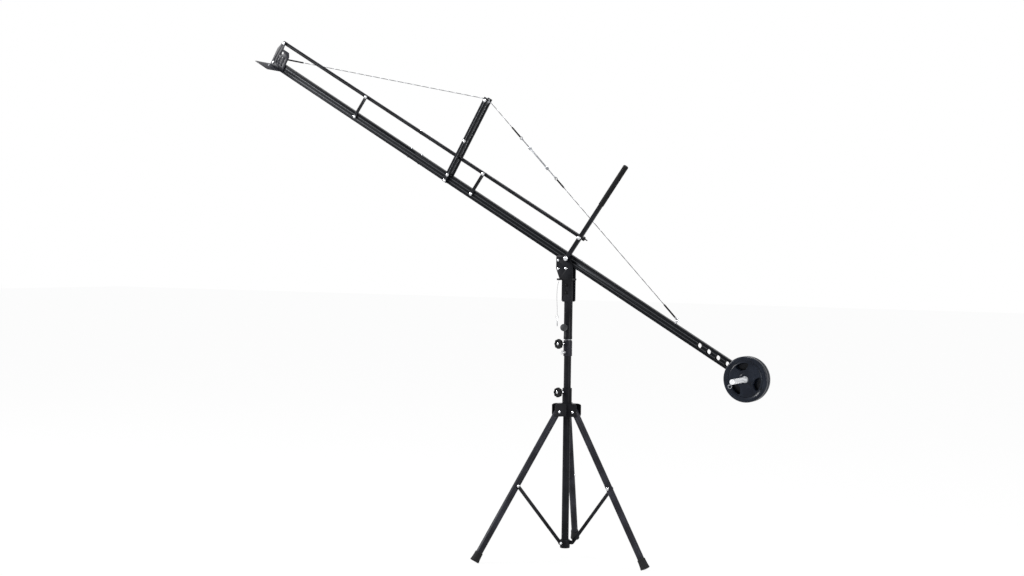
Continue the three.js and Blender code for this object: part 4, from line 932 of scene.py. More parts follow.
lower_ring = LOWER_EYE + LINKED
tail_ring = rear_length - (RING + 8 - RING_WIRE - 3 - 0.4)
parts = [
    end_ring(lower_ring, NEAR),
    sleeve(lower_ring + RING, lower_ring + RING + 60),
    (wire_rope(lower_ring + RING, tail_ring - RING), "rope"),
    sleeve(tail_ring - RING - 90, tail_ring - RING),
    end_ring(tail_ring),
]
piece("truss_rope_rear", "truss_cable_rear", REAR_LINE, parts)

# %% Turnbuckle, anchor lug and eye bolt
def thread(radius, start, stop, pitch=1.5):
    """A threaded bar along Z, as a profile of small ridges."""
    root = radius * 0.86
    count = int((stop - start) / pitch)
    profile = [(0, start), (root, start)]
    for i in range(count):
        low = start + (stop - start) * i / count
        profile += [(root, low + 0.2), (radius, low + pitch * 0.45), (radius, low + pitch * 0.55)]
    return turned([*profile, (root, stop), (0, stop)], 20)


start, stop = TURNBUCKLE
boss = turned([(3.2, 0), (6.6, 0), (7.9, 2), (7.9, 14), (5.5, 18), (3.2, 18), (3.2, 0)], 36)
shapes = [
    moved(boss.copy(), ALONG_X, shift(x=start)),
    moved(boss, turn(180, "X"), ALONG_X, shift(x=stop)),
]
for y in (-5.4, 5.4):
    shapes.append(machined(brick(start + 6, stop - 6, y - 2.4, y + 2.4, -2.4, 2.4), soft=1.2, steps=3))
piece("turnbuckle_frame", "turnbuckle_body", REAR_LINE, [(one(*shapes), "zinc")])
for name, eye, low, high in (
    ("turnbuckle_eye_upper", UPPER_EYE, UPPER_EYE + 6.4, start + 36),
    ("turnbuckle_eye_lower", LOWER_EYE, stop - 36, LOWER_EYE - 6.4),
):
    shapes = (moved(torus(RING, RING_WIRE), shift(x=eye)), moved(thread(3.0, low, high), ALONG_X))
    piece(name + "_threaded", name, REAR_LINE, [(shape, "zinc") for shape in shapes])

outline = [(-12, -20), (12, -20), (12, 25.4), *arc(0, ANCHOR[2], 8, 0, 180, 16), (-12, 25.4)]
parts = [(machined(flat(outline, 15.0, 19.0), [bore(5, 10, 25, 0, ANCHOR[2])], 0.6), "powder")]
for z in ANCHOR_SCREWS:
    parts.append((moved(washer(3, 7, 2.0), FAR, shift(y=12.9, z=z)), "steel"))
    parts.append((moved(socket_head(6, 3.8), FAR, shift(y=19.05, z=z)), "chrome"))
    parts.append((bore(3, 10.6, 19.5, 0, z, 20), "chrome"))
piece("anchor_lug", "front_cable_anchor", BOOM @ shift(x=ANCHOR[0]), parts)

shapes = [
    moved(torus(8, 3), NEAR, shift(z=REAR_EYE[1])), thread(3.5, 14, 38),
    *(moved(hexagon(8, 5), shift(z=z)) for z in (25.7, 17.9)),
]
place = BOOM @ shift(x=REAR_EYE[0])
piece("tail_eye_bolt", "rear_eye_bolt", place, [(shape, "chrome") for shape in shapes])

# %% [markdown]
# ## Tilt linkage
# A lever beside the saddle works the camera head through a long rod. Two links hold the rod parallel to
# the boom, so the head always tilts as much as the lever. The rod is steel tube in two lengths, joined
# by an inner spigot, and the lever is square tube with a rubber grip.

# %% Control rod
ROD_HOLES = (HEAD_PLACE, *LINK_PLACES, 0)
ROD_SPLICE = -1113
SPLICE_RIVET = 35
ROD_INNER, ROD_RADIUS = 8, 10
for name, start, stop in (("rod_front", HEAD_PLACE - 14, ROD_SPLICE), ("rod_rear", ROD_SPLICE + 0.5, 14)):
    tube = ring(ROD_INNER, ROD_RADIUS, start, stop, 40, 0.6)
    holes = [bore(BOLT_HOLE, -30, 30, x) for x in ROD_HOLES if start < x < stop]
    parts = [(machined(moved(tube, ALONG_X), holes), "powder")]
    if name == "rod_rear":
        parts.append((moved(rod(7.7, start - 60, start + 30, 32), ALONG_X), "steel"))
    for x in (ROD_SPLICE - SPLICE_RIVET, ROD_SPLICE + SPLICE_RIVET):
        if start < x < stop:
            for flip in (0, 180):
                parts.append((moved(dome(4.2, 2.4), shift(z=9.7), turn(flip, "X"), shift(x=x)), "chrome"))
    piece(name + "_tube", name, ROD, parts)


# %% Links
def round_bar(low, high, near, far, steps=12):
    """A flat bar 18 mm wide with round ends."""
    outline = [*arc(0, high, 9, 0, 180, steps), *arc(0, low, 9, 180, 360, steps)]
    return flat(outline, near, far)


LINK_FACE = 20.5
FLANGE_IN = 14.4
for name, place in zip(("link_front", "link_rear"), LINK_PLACES):
    bar = round_bar(0, LINK_LENGTH, -LINK_FACE, -LINK_FACE + 6)
    parts = [(machined(bar, [bore(4.1, -30, 30), bore(4.1, -30, 30, 0, LINK_LENGTH)], 0.8), "powder")]
    parts += cross_bolt(LINK_FACE, 13.0)
    parts += cross_bolt(LINK_FACE, 10.4, z=LINK_LENGTH)
    for z, low in ((0, 12.95), (LINK_LENGTH, 10.3)):
        parts.append((moved(ring(4.1, 7, low, FLANGE_IN), NEAR, shift(z=z)), "steel"))
    piece(name + "_bar", name, BOOM @ shift(x=place) @ turn(LINK_LEAN, "Y"), parts)

# %% Lever and its grip
LEVER_TOP = 572
LEVER_MIDDLE = 10 - LEVER_FACE
tube = extruded(section_outline(20, 20, 2.4), -16, LEVER_TOP, (8, 8))
tube = moved(tube, X_TO_Z, shift(y=LEVER_MIDDLE))
holes = [bore(TILT_HOLE, -LEVER_FACE - 5, 0), bore(BOLT_HOLE, -LEVER_FACE - 5, 0, 0, LINK_LENGTH)]
end = moved(machined(brick(-8, 8, -8, 8, -15.6, -12.6), soft=0.8), shift(y=LEVER_MIDDLE))
parts = [(machined(tube, holes, 0.3, 1), "powder"), (end, "plastic")]
piece("lever_tube", "tilt_lever", LEVER, parts)

GRIP_START = 337
GRIP_TOP = LEVER_TOP + 8
GRIP_RIDGES = 46
CREST, VALLEY = 14.4, 13.7
profile = [(0, GRIP_START + 1), (10.6, GRIP_START), (13.6, GRIP_START), (CREST, GRIP_START + 1.5)]
for i in range(GRIP_RIDGES):
    low = GRIP_START + 6 + (GRIP_TOP - GRIP_START - 20) * i / GRIP_RIDGES
    profile += [(CREST, low), (VALLEY, low + 1.0), (VALLEY, low + 2.0), (CREST, low + 3.0)]
profile += [(CREST, GRIP_TOP - 6), (13.4, GRIP_TOP - 2), (10, GRIP_TOP), (0, GRIP_TOP)]
place = LEVER @ shift(y=LEVER_MIDDLE)
piece("lever_grip_ribbed", "lever_grip", place, [(turned(profile, 40), "grip")])

near, wing_start = LEVER_FACE + CLEAR, 10.6
parts = [
    (bore(4, -near - 1, wing_start + 8, steps=24, soft=0.5), "chrome"),
    (moved(seated(dome(7.8, 4), 4, 9), NEAR, shift(y=-near)), "chrome"),
    (moved(ring(4.1, 7, 10.4, 20.8), NEAR), "steel"),
]
piece("rod_rear_bolt_set", "rod_rear_bolt", LEVER @ shift(z=LINK_LENGTH), parts)

# %% Wing knob
hub = turned([(0, 0), (8, 0), (9, 1), (9, 12), (7, 15.6), (0, 16)], 40)
right_wing = [(7, 11.9), (14, 15.5), (22.6, 13.9), (23, 6.9), (7, 2.9)]
left_wing = [(-x, z) for x, z in reversed(right_wing)]
wings = machined(flat([*left_wing, *right_wing], -2.4, 2.4), soft=1.4, steps=3)
knob = machined(hub, [rod(BOLT_HOLE, -2, 8.3, 24)], joined=[wings])
knob = moved(knob, FAR, shift(y=wing_start, z=LINK_LENGTH))
piece("wing_knob_moulded", "wing_knob", LEVER, [(knob, "plastic")])

# %% [markdown]
# ## Camera head
# The head is one piece of steel plate, cut and folded. Its upright flange pivots on the boom and takes
# the rod, and holes in it lighten it and take accessories. The shelf carries the camera and has slots
# for its screw.

# %% Head bracket
FLANGE_FACE = 18.5
FLANGE_PLATE = 4
SHELF_TOP = -14
SHELF_LOW = -18
SHELF_MIDDLE = (36, -92)
SLOT_PITCH = 34
LIGHTENING = (22, 12, 21)
bolt_x, bolt_z = ROD_AT
outline = [
    (-14, SHELF_LOW), (86, SHELF_LOW), (86, 76), (72, 98), (bolt_x + 15, 98), (bolt_x + 11, bolt_z),
    *arc(bolt_x, bolt_z, 11, 6, 174, 12), (bolt_x - 11, bolt_z), (-14, 84),
]
flange = flat(outline, -FLANGE_FACE, -FLANGE_FACE + FLANGE_PLATE)
shelf = brick(-14, 86, -158, -FLANGE_FACE + FLANGE_PLATE, SHELF_LOW, SHELF_TOP)
cutters = [bore(r, -40, 0, x, z) for r, x, z in ((5.3, 0, 0), (BOLT_HOLE, bolt_x, bolt_z), (7.5, 33, 77))]
first_x, first_z, pitch = LIGHTENING
cutters += [bore(3.4, -40, 0, first_x + pitch * i, first_z + pitch * j) for i in range(3) for j in range(3)]
for i in (1, 0, -1):
    slot = flat([*arc(32.5, 0, 3.5, -90, 90), *arc(-32.5, 0, 3.5, 90, 270)], -30, 0)
    cutters.append(moved(slot, NEAR, shift(SHELF_MIDDLE[0], SHELF_MIDDLE[1] + SLOT_PITCH * i, -30)))
bracket = machined(flange, cutters, 0.7, 2, joined=[shelf])
piece("head_plate", "head_bracket", HEAD, [(bracket, "leg")])

near = FLANGE_FACE + CLEAR
parts = cross_bolt(near, 13.0, radius=5, wide=8)
parts.append((moved(ring(5.1, 8, 12.95, 14.2), NEAR), "steel"))
piece("head_pivot_bolt_set", "head_pivot_bolt", HEAD, parts)
parts = cross_bolt(near, 10.3, bolt_x, bolt_z)
parts.append((moved(ring(4.1, 7, 10.3, 14.2), NEAR, shift(bolt_x, 0, bolt_z)), "steel"))
piece("head_rod_bolt_set", "head_rod_bolt", HEAD, parts)


# %% Camera screw
def knurled(radius, low, high, teeth=36, depth=0.6):
    """A knurled disc along Z."""
    tooth = ((0.0, radius), (0.35, radius), (0.5, radius - depth), (0.85, radius - depth))
    outline = [polar(r, 360 * (i + share) / teeth) for i in range(teeth) for share, r in tooth]
    return moved(flat(outline, low, high), NEAR)


stud = thread(3.1, SHELF_LOW - 6, SHELF_TOP + 9, 1.27)
knob = moved(knurled(13.9, -12.3, -0.3), shift(z=SHELF_LOW))
place = HEAD @ shift(*SHELF_MIDDLE, 0)
piece("camera_screw_knurled", "camera_screw", place, [(stud, "steel"), (knob, "steel")])

# %% [markdown]
# ## Weights
# Two cast plates slide onto a chrome bar and balance the camera. They are the kind with three windows
# to carry them by and a thick coat, so every edge is well rounded.

# %% Weight plates
PLATE = 113
THICK = 28
WINDOW_SPAN = 57.0
WINDOW_INNER, WINDOW_OUTER = 46.0, 82.0
FACE_STEPS = (
    (16.5, 1.5), (18, 0.2), (28, 0.2), (30, 1.6), (34, 2.2), (38, 1.8), (41, 1.0), (80, 0.8), (83, 1.3),
    (85.5, 2.6), (87, 4.4), (88.5, 5), (90.5, 4.6), (93, 2.4), (96, 0.4), (98.5, 0),
)


def window_outline(start):
    """One window between two spokes, with rounded corners."""
    stop = start + WINDOW_SPAN
    inset = WINDOW_SPAN * 0.16
    corner = ((WINDOW_OUTER * 0.955, 2.4), (WINDOW_OUTER * 0.86, 1), (WINDOW_INNER * 1.16, inset * 0.9))
    return [
        *arc(0, 0, WINDOW_OUTER, start + 7, stop - 7, 14),
        *(polar(radius, stop - angle) for radius, angle in corner),
        *arc(0, 0, WINDOW_INNER, stop - inset * 1.6, start + inset * 1.6, 14),
        *(polar(radius, start + angle) for radius, angle in reversed(corner)),
    ]


def plate_shape(first):
    half = THICK / 2
    upper = [(radius, half - drop) for radius, drop in FACE_STEPS] + arc(PLATE - 8, half - 8, 8, 90, 0, 6)
    lower = [(radius, -z) for radius, z in reversed(upper)]
    disc = turned([*upper, *lower, upper[0]], 120)
    windows = [moved(flat(window_outline(first + 120 * i), -30, 30), NEAR) for i in range(3)]
    return machined(disc, windows, 2.2, 3)


TAIL = BOOM @ shift(x=BAR_PLACE)
FIRST_PLATE = BOOM_HALF[0] + 1.8 + THICK / 2
for name, y, first in (("inner", FIRST_PLATE, 45.5), ("outer", FIRST_PLATE + THICK + 0.5, -14.5)):
    parts = [(plate_shape(first), "plate"), (ring(12.9, 16.4, -12.8, 12.8, 60), "steel")]
    parts = [(moved(shape, ALONG_Y, shift(y=-y)), finish) for shape, finish in parts]
    piece(f"weight_plate_{name}_cast", f"weight_plate_{name}", TAIL, parts)

# %% Weight bar and its clip
BAR_END = -252
CLIP_Y = BAR_END + 9
bar = machined(bore(12.5, BAR_END, 24, steps=64, soft=1.6), [moved(rod(2.9, -20, 20, 20), shift(y=CLIP_Y))])
parts = [(bar, "satin"), (moved(ring(12.4, 19, 13, 24, 60, 0.8), ALONG_Y), "satin")]
piece("weight_bar_chromed", "weight_bar", TAIL, parts)
CLIP_RING, CLIP_WIRE, CLIP_END = 9, 1.6, 19
pull = moved(torus(CLIP_RING, CLIP_WIRE, 36, 10), NEAR, shift(z=CLIP_WIRE - CLIP_END - CLIP_RING))
parts = [(rod(2.6, -CLIP_END, CLIP_END, 24, 0.6), "zinc"), (pull, "zinc")]
piece("weight_clip_ring", "weight_clip", TAIL @ shift(y=CLIP_Y), parts)

# %% [markdown]
# ## Saddle and column
# The saddle is folded plate: two tall plates clamp the turning sleeve, and two ears above carry the tilt
# bolt. The sleeve turns on the riser, the riser lifts in the outer tube, and lobed knobs on bosses lock
# each stage.

# %% Saddle bracket
SLEEVE_TOP = 1452
EAR_RIVETS = ((-54, -10), (-54, -55), (-8, -52))
base_low = SLEEVE_TOP + CLEAR
base_high = base_low + 9
clamp = [(-27, base_high), (-27, 1346), (-21, 1340), (21, 1340), (27, 1346), (27, base_high)]
ear = [
    (-65, TILT_HEIGHT + 14), (-65, TILT_HEIGHT - 53), (-42, base_low), (31, base_low), (31, TILT_HEIGHT - 40),
    (14, TILT_HEIGHT + 14),
]
shapes = []
for side in (-1, 1):
    shapes.append(flat(clamp, *sorted((side * SADDLE_IN, side * SADDLE_OUT))))
    shapes.append(flat(ear, *sorted((side * EAR_IN, side * EAR_OUT))))
shapes.append(brick(-48, -32, -SADDLE_OUT - 16, -SADDLE_IN, base_low, base_high))
tools = [bore(BOLT_HOLE, -60, 60, 0, z, 28) for z in SADDLE_BOLTS.values()]
tools += [bore(4.5, -60, 60, x, TILT_HEIGHT + z, 28) for x, z in EAR_RIVETS]
tools.append(bore(TILT_HOLE, -60, 60, 0, TILT_HEIGHT))
base = brick(-42, 31, -SADDLE_OUT, SADDLE_OUT, base_low, base_high)
parts = [(machined(base, tools, 0.8, 2, joined=shapes), "powder")]
for side, outward in ((-1, NEAR), (1, FAR)):
    for x, z in EAR_RIVETS:
        parts.append((moved(dome(6.6, 3.0), outward, shift(x, side * EAR_OUT, TILT_HEIGHT + z)), "chrome"))
piece("saddle_plate", "saddle_bracket", STAND, parts)

# %% Column's clamps, each a height and an azimuth
COLUMN_BORE = 19.3
STUD_HOLE = 3.5
CLAMP_AZIMUTH = -109
CROWN_LOCK = (868, CLAMP_AZIMUTH)
RISER_LOCK = (1121, CLAMP_AZIMUTH)
PAN_LOCK = (1206, -92)
PLUNGER = (1077, -96)


def spoke(height, azimuth):
    """The frame of a clamp: X points out of the column."""
    return shift(z=height) @ turn(azimuth, "Z")


def clamp_drill(radius, length, clamp):
    return moved(rod(radius, 0, length, 24), ALONG_X, spoke(*clamp))


def clamp_boss(length, clamp):
    profile = [(0, 0), (9, 0), (9, length - 1.5), (8, length), (0, length)]
    return moved(turned(profile, 36), ALONG_X, spoke(*clamp))


# %% Sleeve, tubes and riser collar
tube = turned([
    (0, 1144), (22, 1144), (SLEEVE_RADIUS, 1144.7), (SLEEVE_RADIUS, 1160), (22.2, 1161), (22.2, 1336),
    (SLEEVE_RADIUS, 1337), (SLEEVE_RADIUS, SLEEVE_TOP - 1), (22, SLEEVE_TOP), (0, SLEEVE_TOP),
], 64)
holes = [bore(BOLT_HOLE, -40, 40, 0, z, 24) for z in SADDLE_BOLTS.values()]
tube = machined(tube, [rod(20.3, 1100, 1370.3, 48), clamp_drill(BOLT_HOLE, 30, PAN_LOCK), *holes])
piece("turning_sleeve", "pan_sleeve", STAND, [(tube, "powder")])

riser = turned([
    (12.5, 520.3), (15.5, 520.3), (15.5, 1142), (19.4, 1142), (20, 1142.6), (20, 1369.4), (19.4, 1370),
    (0, 1370), (0, 1367), (12.5, 1367), (12.5, 520.3),
], 64)
piece("riser_tube_turned", "riser_tube", STAND, [(riser, "zinc")])

holes = [clamp_drill(BOLT_HOLE, 30, RISER_LOCK), clamp_drill(STUD_HOLE, 30, PLUNGER)]
tube = machined(ring(16, 19, 55.3, 1135, 64), holes)
piece("column_tube", "outer_tube", STAND, [(tube, "powder")])

collar = turned([
    (0, 1056), (22.2, 1056), (23, 1057), (23, 1092), (22.1, 1093), (22.1, 1095), (23, 1096), (23, 1132),
    (21, 1138.4), (20, 1139), (0, 1139),
], 64)
tools = [
    rod(COLUMN_BORE, 1000, 1135.3, 48), rod(15.8, 1130, 1160, 48),
    clamp_drill(BOLT_HOLE, 60, RISER_LOCK), clamp_drill(STUD_HOLE, 60, PLUNGER),
]
collar = machined(collar, tools, 0.5, 2, joined=[clamp_boss(32, RISER_LOCK), clamp_boss(27.5, PLUNGER)])
piece("riser_collar_turned", "riser_collar", STAND, [(collar, "leg")])


# %% Lobed knobs, ball knob and plunger
KNOB_RADIUS = 24.5
KNOB_WAVE = 1.3
KNOB_LOBES = 8


def lobed_knob(tip):
    """A lobed knob on its stud, along Z, with a chrome cap."""
    turns = [i / 96 for i in range(96)]
    rim = [polar(KNOB_RADIUS + KNOB_WAVE * cos(2 * pi * KNOB_LOBES * share), 360 * share) for share in turns]
    head = moved(flat(rim, 58, 75), NEAR)
    dish = turned([(0, 71), (15, 71), (18.5, 76), (0, 76)], 48)
    neck = turned([(0, 49.5), (9, 49.5), (11.5, 52), (12, 60), (0, 60)], 36)
    nut = moved(hexagon(7.5, 3.6), shift(z=70.8))
    collar = turned([(0, 45), (6.5, 45), (6.5, 49.6), (0, 49.6)], 36)
    return [
        (one(machined(head, [dish], 1.6, 3), neck), "plastic"), (one(nut, collar), "chrome"),
        (thread(4.0, tip, 46, 1.25), "chrome"),
    ]


def clamp_piece(name, node, clamp, parts):
    """A piece whose shapes were drawn along Z and point out of the column."""
    parts = [(moved(shape, ALONG_X), finish) for shape, finish in parts]
    piece(name, node, STAND @ spoke(*clamp), parts)


clamp_piece("crown_lock_knob_lobed", "crown_lock_knob", CROWN_LOCK, lobed_knob(19.3))
clamp_piece("riser_lock_knob_lobed", "riser_lock_knob", RISER_LOCK, lobed_knob(15.8))

BALL = 19.4
profile = [(0, -BALL * cos(radians(12))), *arc(0, 0, BALL, -78, 84, 27), (0, BALL)]
parts = [(moved(turned(profile, 60), shift(z=46)), "ball"), (thread(4.0, 20.3, 30, 1.25), "chrome")]
clamp_piece("pan_lock_ball", "pan_lock_knob", PAN_LOCK, parts)

PLUNGER_FACE = 27.8
PULL, PULL_WIRE = 9, 1.4
stem = [(0, 0), (6.5, 0), (6.5, 6), (5.4, 7), (5.4, 15), (6.4, 16), (6.4, 20), (5.6, 21), (0, 21)]
parts = [
    (rod(3.2, 15.8, PLUNGER_FACE + 6, 24, 0.4), "chrome"),
    (moved(turned(stem, 36), shift(z=PLUNGER_FACE)), "chrome"),
    (moved(torus(PULL, PULL_WIRE, 40, 10), NEAR, shift(z=PLUNGER_FACE + 21 + PULL - PULL_WIRE)), "chrome"),
]
clamp_piece("locking_plunger_pull", "locking_plunger", PLUNGER, parts)

# %% [markdown]
# ## Tripod stand
# Three tubes hinge in cheeks on a crown that slides on the column. Flat braces tie them to a hub at the
# column's foot, so pushing the crown up folds everything at once. Rivets of one shape hold every hinge.

# %% Legs, feet and braces
LEG_RADIUS = 17.5
LEG_END = 22 - leg_length
LEG_BORE = 15.7
leg_tube = turned([
    (LEG_BORE, LEG_END), (LEG_RADIUS, LEG_END), (LEG_RADIUS, 9), (16.8, 10), (LEG_BORE, 10),
    (LEG_BORE, LEG_END),
])
leg_tube = machined(leg_tube, [bore(BOLT_HOLE, -30, 30, 0, z, 24) for z in (0, -BRACE_REACH)])
plug = turned([(0, 6), (15.5, 6), (15.5, 10), (12, 11.2), (0, 11.6)], 40)

FOOT_RADIUS, FOOT_TOP_RADIUS, FOOT_TREAD = 25, 21, 5
FOOT_SIDE = FOOT_RADIUS - CLEAR
FOOT_ROWS = 12
FOOT_GROOVES = (3, 5)
top = 62 - leg_length
sole = (FOOT_RADIUS * sin(splay) - FOOT_TREAD) / cos(splay) - leg_length
profile = [(0, sole), (FOOT_SIDE - 3, sole), (FOOT_SIDE - 0.9, sole + 0.9), (FOOT_SIDE, sole + 3)]
for i in range(1, FOOT_ROWS):
    share = i / FOOT_ROWS
    radius = FOOT_SIDE + (FOOT_TOP_RADIUS - FOOT_SIDE) * min(1, share / 0.7)
    profile.append((radius - (0.7 if i in FOOT_GROOVES else 0), sole + 3 + (top - sole - 6) * share))
profile += [(FOOT_TOP_RADIUS, top - 2), (FOOT_TOP_RADIUS - 1.6, top), (0, top)]
foot = machined(turned(profile, 56), [rod(17.8, LEG_END - CLEAR, top + 10, 40)])
foot = machined(moved(foot, LEG), [brick(300, 700, -200, 200, -200, 0)])
foot.transform(LEG.inverted())

BRACE_IN = LEG_RADIUS + 0.8
BRACE_OUT = BRACE_IN + 5
RIVET = (7.5, 4.0)
brace_bar = machined(round_bar(-brace_length, 0, BRACE_IN, BRACE_OUT, 14), soft=0.8)
for i, (leg, brace) in enumerate(zip(LEGS, BRACES), 1):
    parts = [(leg_tube.copy(), "leg"), (plug.copy(), "plastic")]
    piece(f"leg_{i}_tube", f"leg_{i}", leg, parts)
    piece(f"foot_{i}_shoe", f"foot_{i}", leg, [(foot.copy(), "rubber")])
    parts = [
        (brace_bar.copy(), "powder"),
        (moved(dome(*RIVET), FAR, shift(y=BRACE_OUT)), "chrome"),
        (moved(dome(*RIVET), NEAR, shift(y=-LEG_RADIUS - CLEAR)), "chrome"),
        (moved(dome(*RIVET), FAR, shift(y=BRACE_OUT, z=-brace_length)), "chrome"),
        (bore(4, -LEG_RADIUS - 0.5, BRACE_OUT, steps=24), "steel"),
    ]
    piece(f"brace_{i}_bar", f"brace_{i}", brace, parts)

# %% [markdown]
# ### Hinge rivets
# The crown carries three equal hinges, a third of a turn apart. Their rivets could be modelled once and
# copied by hand, but a tree states the rule: a shank with a domed head at each end, set on the points of
# a circle and turned to face the way its point does.

# %% Rivets on a ring of hinges
def rivet_tree():
    t = Tree("hinge_rivets", count=3, ring=52.0, start=0.0, reach=20.0, head=7.5, proud=4.0, shank=4.0)
    ball = t.node("GeometryNodeMeshUVSphere", Segments=28, Rings=14, Radius=1.0)[0]
    head = t.node("GeometryNodeTransform", Geometry=ball, Scale=t.vector(X="head", Y="proud", Z="head"))[0]
    ends = [t.vector(Y=t.math("MULTIPLY", "reach", sign)) for sign in (-1.0, 1.0)]
    two = {"mode": "END_POINTS"}
    line = t.node("GeometryNodeMeshLine", two, Count=2, Start_Location=ends[0], Offset=ends[1])[0]
    heads = t.node("GeometryNodeInstanceOnPoints", Points=line, Instance=head)[0]
    depth = t.math("MULTIPLY", "reach", 2.0)
    bar = t.node("GeometryNodeMeshCylinder", Vertices=24, Radius="shank", Depth=depth)[0]
    lying = t.node("GeometryNodeTransform", Geometry=bar, Rotation=(pi / 2, 0, 0))[0]
    both = t.node("GeometryNodeJoinGeometry", _0=heads)[0]
    t.group.links.new(lying, both.node.inputs[0])
    circle = t.node("GeometryNodeMeshCircle", Vertices="count", Radius="ring")[0]
    step = t.math("DIVIDE", t.math("MULTIPLY", t.node("GeometryNodeInputIndex")[0], 2 * pi), "count")
    facing = t.vector(Z=step)
    set_out = t.node("GeometryNodeInstanceOnPoints", Points=circle, Instance=both, Rotation=facing)[0]
    first = t.vector(Z=t.math("RADIANS", "start"))
    return t.close(t.node("GeometryNodeTransform", Geometry=set_out, Rotation=first)[0])


# %% Crown and hub
CHEEK_IN = LEG_RADIUS + 0.8
CHEEK_OUT = CHEEK_IN + 3.5
hinge_rivets = rivet_tree().mesh(ring=LEG_PIN[0], start=LEG_AZIMUTHS[0], reach=CHEEK_OUT)
hinge_rivets.transform(shift(z=LEG_PIN[1]))
print("hinge rivets have", len(hinge_rivets.polygons), "faces")

low, high = 741, 809
cheek = [
    (0, low), (56, low), *arc(62, 755, 14, -90, 0, 8), (76, 766),
    (76, high - 7.5), (70, high - 2.5), (56, high), (0, high),
]
shapes = []
for azimuth in LEG_AZIMUTHS:
    bridge = brick(0, 56, 0.1 - CHEEK_OUT, CHEEK_OUT - 0.1, high - 3.5, high)
    cheeks = (flat(cheek, CHEEK_IN, CHEEK_OUT), flat(cheek, -CHEEK_OUT, -CHEEK_IN), bridge)
    shapes += [moved(shape, turn(azimuth, "Z")) for shape in cheeks]
crown = turned([(0, low), (24, low), (25, low + 1), (25, 886.5), (23.6, 888), (0, 888)], 64)
tools = [rod(COLUMN_BORE, 700, 950, 48), clamp_drill(BOLT_HOLE, 60, CROWN_LOCK)]
crown = machined(crown, tools, 0.6, 2, joined=[*shapes, clamp_boss(34, CROWN_LOCK)])
parts = [(crown, "powder"), (hinge_rivets, "chrome")]
piece("leg_crown_cast", "leg_crown", STAND, parts)

HUB_EAR_OUT = BRACE_IN - 0.4
HUB_EAR_IN = HUB_EAR_OUT - 6
ear = [(0, 68), *arc(*HUB_PIN, 10, -90, 90, 12), (0, 88)]
shapes = [moved(flat(ear, HUB_EAR_IN, HUB_EAR_OUT), turn(azimuth, "Z")) for azimuth in LEG_AZIMUTHS]
hub = machined(rod(26, 49, 92, 64, 1.5), [rod(COLUMN_BORE, 55, 120, 48)], 0.6, 2, joined=shapes)
piece("base_hub_cast", "base_hub", STAND, [(hub, "powder")])

# %% [markdown]
# ## Keeper
# A thin steel lanyard hangs from the saddle with a spare pin at its end, so the pin isn't lost when the
# crane is taken apart. It hangs under its own weight from a lug, a little proud of the sleeve.

# %% Keeper lanyard and pin
KEEPER_ROUTE = [(-40, -34, 1452), (-46, -38, 1420), (-50, -36, 1370), (-49, -33, 1310), (-48, -33, 1270)]
KEEPER_RADIUS = 0.9
KEEPER_STEPS = 6


def mix(a, b, start, stop, at):
    return a * ((stop - at) / (stop - start)) + b * ((at - start) / (stop - start))


def through(points, steps):
    """Points on a centripetal Catmull-Rom curve through the given ones."""
    knots = [Vector(p) for p in points]
    knots = [knots[0] * 2 - knots[1], *knots, knots[-1] * 2 - knots[-2]]
    found = []
    for a, b, c, d in zip(knots, knots[1:], knots[2:], knots[3:]):
        t1 = (b - a).length ** 0.5
        t2 = t1 + (c - b).length ** 0.5
        t3 = t2 + (d - c).length ** 0.5
        for i in range(steps):
            t = t1 + (t2 - t1) * i / steps
            first, middle, last = mix(a, b, 0, t1, t), mix(b, c, t1, t2, t), mix(c, d, t2, t3, t)
            found.append(mix(mix(first, middle, 0, t2, t), mix(middle, last, t1, t3, t), t1, t2, t))
    return [*found, knots[-2]]


route = [STAND @ p for p in through(KEEPER_ROUTE, KEEPER_STEPS)]
curve = bpy.data.curves.new("keeper_lanyard_wire", "CURVE")
curve.dimensions = "3D"
curve.bevel_depth = KEEPER_RADIUS * 0.001
curve.bevel_resolution = 3
curve.use_fill_caps = True
line = curve.splines.new("POLY")
line.points.add(len(route) - 1)
for point, spot in zip(line.points, route):
    point.co = (*spot, 1)
curve.materials.append(FINISH["lanyard"])
lanyard = placed("keeper_lanyard_wire", curve)
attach(lanyard, "saddle")
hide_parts("keeper_lanyard")
lanyard_length = sum((b - a).length for a, b in zip(route, route[1:]))

EYE, EYE_WIRE = 8, 1.3
eye_z = -CLEAR - EYE - EYE_WIRE
top = eye_z - EYE + EYE_WIRE / 2
pin = turned([(0, top - 42), (2.2, top - 42), (3, top - 40.6), (3, top - 4), (2.2, top), (0, top)], 28)
parts = [(moved(torus(EYE, EYE_WIRE, 36, 10), NEAR, shift(z=eye_z)), "chrome"), (pin, "chrome")]
place = STAND @ shift(*KEEPER_ROUTE[-1])
keeper = piece("keeper_pin_ring", "keeper_pin", place, parts)
print("lanyard is", round(lanyard_length * 1000), "mm long")

# %% [markdown]
# ## Studio
# The photograph has a plain white ground and soft, even light. The floor takes the crane's shadow but
# shows nearly white to the camera, through the Light Path node, so no extra light falls on the crane to
# bleach the ground. Three soft lamps, at the left, the right and above, give the long highlights on the
# tubes.

# %% Floor and world
FLOOR_HALF = 40
FLOOR_DEPTH = 0.0005
FLOOR_WHITE = 0.97
FILL_LIGHT = 0.15


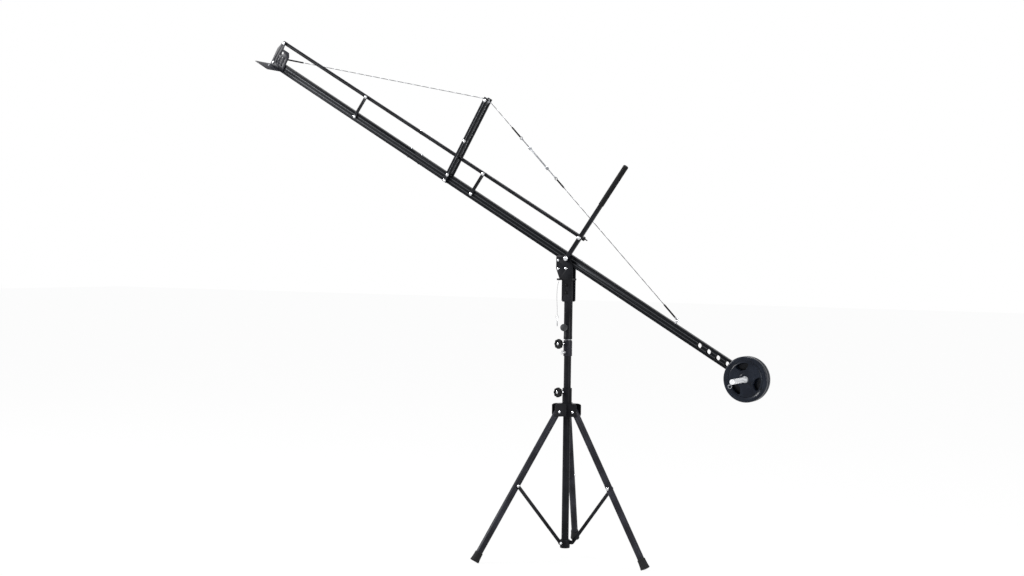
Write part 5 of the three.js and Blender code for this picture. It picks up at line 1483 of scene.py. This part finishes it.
def two_faced(tree, output, lit, white, share):
    """Mixes two shaders: light meets lit, and the camera, mirrors and glass see that share of white."""
    tree.nodes.clear()
    path = add_node(tree, "ShaderNodeLightPath", {}, {}).outputs
    camera_ray, glossy_ray, glass_ray = (
        Sum(tree, path[f"Is {kind} Ray"]) for kind in ("Camera", "Glossy", "Transmission"))
    seen = (camera_ray + glossy_ray + glass_ray) * share
    shaders = [add_node(tree, "ShaderNode" + kind, {}, inputs).outputs[0] for kind, inputs in (lit, white)]
    mixed = add_node(tree, "ShaderNodeMixShader", {}, {"_0": seen, "_1": shaders[0], "_2": shaders[1]})
    add_node(tree, "ShaderNodeOutput" + output, {}, {"_0": mixed.outputs[0]})


ground = bpy.data.materials.new("studio_floor")
ground.use_nodes = True
grey = ("BsdfDiffuse", {"Color": (0.9, 0.9, 0.9, 1)})
two_faced(ground.node_tree, "Material", grey, ("Emission", {"Strength": 1.0}), FLOOR_WHITE)
corners = [(x * FLOOR_HALF, y * FLOOR_HALF, -FLOOR_DEPTH) for x, y in ((-1, -1), (1, -1), (1, 1), (-1, 1))]
floor_mesh = mesh_of(corners, [[0, 1, 2, 3]])
floor_mesh.materials.append(ground)
floor = placed("studio_floor", floor_mesh)

world = bpy.data.worlds.new("studio")
bpy.context.scene.world = world
world.use_nodes = True
fill_light = ("Background", {"Color": (0.9, 0.95, 1.0, 1), "Strength": FILL_LIGHT})
white = ("Background", {"Color": (1, 1, 1, 1), "Strength": 1.0})
two_faced(world.node_tree, "World", fill_light, white, 1.0)


# %% Lamps
def soft_lamp(name, place, aim, size, watts):
    data = bpy.data.lights.new(name, "AREA")
    data.shape = "RECTANGLE"
    data.size, data.size_y = size
    data.energy = watts
    lamp = placed(name, data)
    lamp.location = place
    lamp.rotation_euler = (Vector(aim) - Vector(place)).to_track_quat("-Z", "Y").to_euler()


soft_lamp("key", (-6.2, -4.2, 4.9), (0.0, 0.0, 1.0), (3.0, 1.6), 950)
soft_lamp("side", (6.4, -2.6, 3.0), (0.3, 0.0, 1.2), (0.7, 4.5), 300)
soft_lamp("top", (0.5, 1.0, 6.5), (0.0, 0.0, 1.5), (2.0, 1.2), 300)

scene = bpy.context.scene
scene.view_settings.view_transform = "Standard"
